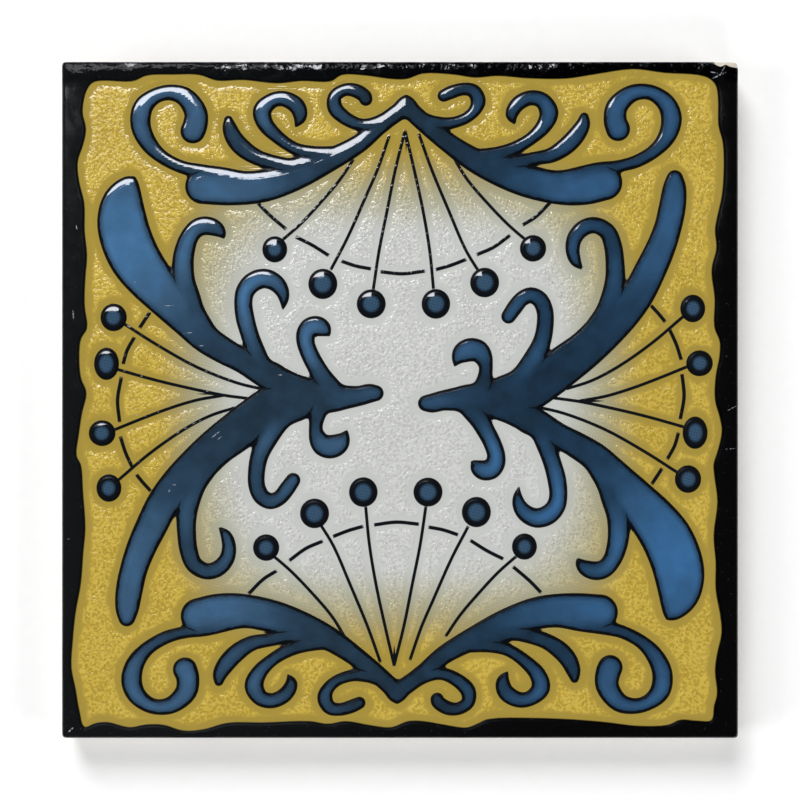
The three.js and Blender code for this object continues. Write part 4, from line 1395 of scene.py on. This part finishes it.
        # The glaze crept back from the upper arris and left it rippled.
        crept = add(RANGE, Passage.CREPT_GLAZE.of(self.y), **SOFT)
        ripples = add(MATH, (add(NOISE, Pattern.RIPPLES.on(self.place), "Fac"), crept), operation="MULTIPLY")
        parts = [
            (pressed, 1.0), (fall, 1.0), (slack, -finish.shoulder_height), (dome, finish.dome_height),
            (grain, finish.grain_height), (swells, finish.swell_height), (grit, finish.grit_height),
            (ripples, finish.ripple_height)]
        # The ink of the fine lines stands up in beads.
        beaded = add(NOISE, Pattern.INK_BEADS.on(self.place), "Fac")
        beaded = add(RANGE, Passage.LINE_INK_BEADS.of(beaded), **SOFT)
        for away, run in self.lines:
            ridge = add(MATH, (add(RANGE, Passage.LINE_CREST.of(away), **SOFT), run), operation="MULTIPLY")
            parts.append((add(MATH, (ridge, beaded), operation="MULTIPLY"), finish.ridge_height))
        total = 0.0
        for part, height in parts:
            total = add(MATH, (part, height, total), operation="MULTIPLY_ADD")
        return total

    def _gloss(self) -> bpy.types.NodeSocket:
        """Vary the strength of the reflections.

        The glaze lies thin over the thick outline ink and over the grains of the ground. The upper border is
        worn dull in patches, and all of it in the left corner.

        Returns:
            The specular level.
        """
        add, finish = self.add, self.finish
        gloss = add(MATH, (self.pebbled, -finish.thin_glaze, finish.gloss), operation="MULTIPLY_ADD")
        gloss = add(MATH, (self.ink, -finish.ink_gloss_loss, gloss), operation="MULTIPLY_ADD", use_clamp=True)
        edge = add(RANGE, Passage.UPPER_BORDER.of(self.y), **SOFT)
        patches = add(NOISE, Pattern.DULL_PATCHES.on(self.place), "Fac")
        patches = add(RANGE, Passage.DULL_PATCHES.of(patches), **SOFT)
        corner = add(RANGE, Passage.DULL_CORNER.of(self.x), **SOFT)
        dull = add(MATH, (add(MATH, (patches, corner), operation="MAXIMUM"), edge), operation="MULTIPLY")
        left = add(MATH, (dull, -finish.worn_gloss_loss, 1.0), operation="MULTIPLY_ADD")
        return add(MATH, (gloss, left), operation="MULTIPLY")

    def _roughness(self) -> bpy.types.NodeSocket:
        """Vary the gloss: wet glaze, duller on thick outline ink and the worn border, matt on bare clay.

        Returns:
            The roughness.
        """
        finish = self.finish
        worn = self.add(NOISE, Pattern.WORN_GLOSS.on(self.place), "Fac")
        rough = self.add(RANGE, Passage.WORN_GLOSS.of(worn, *finish.glaze_roughness), **SOFT)
        for share, more in (
                (self.printed_border, finish.border_roughness), (self.ink, finish.ink_roughness),
                (self.bare, finish.clay_roughness)):
            rough = self.add(MATH, (share, more, rough), operation="MULTIPLY_ADD", use_clamp=True)
        return rough


@dataclass(frozen=True)
class MapLayout:
    """Where the parts of the tile lie on the square bake map: the face large, the back small, the sides in strips.

    A polygon belongs to the back or to a side by the way it faces and by how high and how far out it lies.
    """

    edge: float = 0.01
    face_size: float = 0.72
    back_start: float = 0.75
    back_size: float = 0.24
    strip_start: float = 0.745
    strip_pitch: float = 0.065
    strip_height: float = 0.055
    down: float = -0.3
    pocket_top: float = 0.7 * MM
    pocket_floor: float = 0.99
    rim: float = 1 * MM
    upright: float = 0.4


@dataclass
class ReliefTile:
    """The whole tile: the blank, its measured face, the press and the finish."""

    low: tuple[float, float, float]
    high: tuple[float, float, float]
    finish: GlazedPrint
    keys: BackKeys
    layout: MapLayout = MapLayout()
    beyond_reach: float = 10.0

    def build(self) -> bpy.types.Object:
        """Make the tile.

        Returns:
            The finished piece.
        """
        side, top = (self.high[0] - self.low[0]) / MM, self.high[2] / MM
        grid = FaceGrid(side, top)
        piece = TileBlank(grid, self.keys).build("relief_tile")
        values = FaceMap(grid, side / DRAWN_SIDE).measure(Ornament())
        count = len(piece.data.vertices)
        for name, value in values.items():
            unit = MM if name.endswith(("distance", "gate")) else 1.0
            away = self.beyond_reach * (-1 if name in ("border_distance", "raised_distance") else 1)
            full = np.full(count, 0.0 if name == "blue_tone" else away)
            full[:value.size] = value.ravel()
            piece.data.attributes.new(name, "FLOAT", "POINT").data.foreach_set("value", full * unit)
        self.finish.pressed.press(piece, self.finish.make())
        self._unwrap(piece.data)
        return piece

    def _unwrap(self, mesh: bpy.types.Mesh) -> None:
        """Lay the face, the back and the four sides flat on their own parts of one square map.

        Args:
            mesh: the finished mesh.
        """
        count = len(mesh.polygons)
        normal, middle = np.empty(count * 3), np.empty(count * 3)
        mesh.polygons.foreach_get("normal", normal)
        mesh.polygons.foreach_get("center", middle)
        normal, middle = normal.reshape(-1, 3), middle.reshape(-1, 3)
        corners, loops = np.empty(len(mesh.loops), dtype=int), np.empty(count, dtype=int)
        mesh.loops.foreach_get("vertex_index", corners)
        mesh.polygons.foreach_get("loop_total", loops)
        owner = np.repeat(np.arange(count), loops)
        spots = np.empty(len(mesh.vertices) * 3)
        mesh.vertices.foreach_get("co", spots)
        spot = spots.reshape(-1, 3)[corners]

        layout = self.layout
        across, up = ((spot[:, axis] - self.low[axis]) / (self.high[axis] - self.low[axis]) for axis in range(2))
        level = spot[:, 2] / self.high[2]
        in_pocket = (
            (middle[:, 2] < layout.pocket_top) & (np.abs(normal[:, 2]) < layout.pocket_floor)
            & (np.abs(middle[:, :2]).max(axis=1) < self.high[0] - layout.rim))
        is_back = ((normal[:, 2] < layout.down) | in_pocket)[owner]
        is_side = (np.abs(normal[:, 2]) < layout.upright)[owner] & ~is_back
        flat = np.stack([across, up], axis=1)
        place = layout.edge + layout.face_size * flat
        place[is_back] = (layout.back_start + layout.back_size * flat)[is_back]
        faces = [(-normal[:, 1], across, 0), (normal[:, 0], up, 1), (normal[:, 1], across, 2), (-normal[:, 0], up, 3)]
        facing = np.argmax([value for value, _, _ in faces], axis=0)[owner]
        for _, along, row in faces:
            height = layout.strip_start + layout.strip_pitch * row + layout.strip_height * level
            strip = np.stack([layout.edge + layout.face_size * along, height], axis=1)
            chosen = is_side & (facing == row)
            place[chosen] = strip[chosen]
        mesh.uv_layers.new(name=BAKE_MAP).uv.foreach_set("vector", place.ravel().astype(np.float32))


@dataclass
class Studio:
    """A pale floor, soft lights all round, a low white panel that the glaze mirrors, and the camera overhead."""

    tile_top: float
    view_width: float = 118.0 * MM
    camera_height: float = 258 * MM
    key_power: float = 11.8
    fill_power: float = 5.9
    light_distance: float = 1.2
    light_size: float = 0.6
    key_lean: float = math.radians(49)
    fill_lean: float = math.radians(60)
    key_turn: float = math.radians(18)
    fill_turns: tuple[float, ...] = (math.radians(100), math.radians(180), math.radians(260))
    panel_centre: tuple[float, float, float] = (-119 * MM, 197 * MM, 161 * MM)
    panel_width: float = 222 * MM
    panel_depth: float = 198 * MM
    panel_power: float = 2.5
    panel_colour: str = "#f4f5fa"
    room_colour: str = "#ffffff"
    room_strength: float = 0.05
    floor_half: float = 2.5
    floor_colours: tuple[str, str] = ("#f9f9f9", "#ffffff")
    floor_roughness: float = 0.85
    floor_gloss: float = 0.2
    sensor_width: float = 36.0
    clip_range: tuple[float, float] = (0.01, 20.0)

    def build(self) -> None:
        """Set up the floor, the lights and the camera."""
        self._floor()
        self._light("key", self.key_lean, self.key_turn, self.key_power)
        for number, turn in enumerate(self.fill_turns):
            self._light(f"fill_{number}", self.fill_lean, turn, self.fill_power)
        self._panel()
        world = bpy.data.worlds.new("dim room")
        world.use_nodes = True
        world.node_tree.nodes["Background"].inputs["Color"].default_value = linear(self.room_colour)
        world.node_tree.nodes["Background"].inputs["Strength"].default_value = self.room_strength
        bpy.context.scene.world = world
        bpy.context.scene.view_settings.view_transform = "Standard"
        self._camera()

    def _floor(self) -> None:
        """Lay the floor: white card, matt, with a faint mottle of fibres."""
        mesh = bpy.data.meshes.new("floor")
        half = self.floor_half
        corners = [(-half, -half, 0), (half, -half, 0), (half, half, 0), (-half, half, 0)]
        mesh.from_pydata(corners, [], [(0, 1, 2, 3)])
        floor = bpy.data.objects.new("floor", mesh)
        bpy.context.scene.collection.objects.link(floor)
        material = bpy.data.materials.new("white card")
        material.use_nodes = True
        material.node_tree.nodes.clear()
        add = partial(add_node, material.node_tree)
        fibre = add(NOISE, Pattern.CARD.on(add("ShaderNodeTexCoord", output="Object")), "Fac")
        dark, pale = map(linear, self.floor_colours)
        colour = add(MIX, {0: fibre, 6: dark, 7: pale}, **LAYER)
        shader = add(
            "ShaderNodeBsdfPrincipled",
            {"Base Color": colour, "Roughness": self.floor_roughness, "Specular IOR Level": self.floor_gloss})
        add("ShaderNodeOutputMaterial", (shader,))
        mesh.materials.append(material)

    def _light(self, name: str, lean: float, turn: float, power: float) -> None:
        """Hang one soft square light that faces the tile.

        Args:
            name: the light's name.
            lean: its angle from straight above.
            turn: its angle from the tile's upper edge, anticlockwise.
            power: its power.
        """
        data = bpy.data.lights.new(name, "AREA")
        data.size, data.energy = self.light_size, power
        light = bpy.data.objects.new(name, data)
        light.location = (
            -math.sin(lean) * math.sin(turn) * self.light_distance,
            math.sin(lean) * math.cos(turn) * self.light_distance,
            math.cos(lean) * self.light_distance)
        light.rotation_euler = (-lean, 0, turn)
        light.visible_glossy = False
        bpy.context.scene.collection.objects.link(light)

    def _panel(self) -> None:
        """Hang the white panel beyond the upper left corner, which shows only as a reflection in the glaze."""
        data = bpy.data.lights.new("panel", "AREA")
        data.shape, data.size, data.size_y, data.energy = (
            "RECTANGLE", self.panel_width, self.panel_depth, self.panel_power)
        panel = bpy.data.objects.new("panel", data)
        panel.location = self.panel_centre
        panel.visible_diffuse = False
        data.color = linear(self.panel_colour)[:3]
        bpy.context.scene.collection.objects.link(panel)

    def _camera(self) -> None:
        """Hang the camera straight above, as the photograph was taken."""
        data = bpy.data.cameras.new("overhead")
        data.sensor_width = self.sensor_width
        data.lens = data.sensor_width * self.camera_height / self.view_width
        data.clip_start, data.clip_end = self.clip_range
        camera = bpy.data.objects.new("overhead", data)
        camera.location = (0, 0, self.tile_top + self.camera_height)
        bpy.context.scene.collection.objects.link(camera)
        bpy.context.scene.camera = camera


def main() -> None:
    logging.basicConfig(level=logging.INFO, format="%(name)s: %(message)s")
    low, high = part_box(NODE)
    tile = ReliefTile(tuple(low), tuple(high), GlazedPrint(), BackKeys()).build()
    LOG.info("%s: %d points, %d faces", tile.name, len(tile.data.vertices), len(tile.data.polygons))
    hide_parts(NODE)
    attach(tile, BODY)
    Studio(high[2]).build()
    LOG.info("studio: floor, lights and camera")


if __name__ == "__main__":
    main()
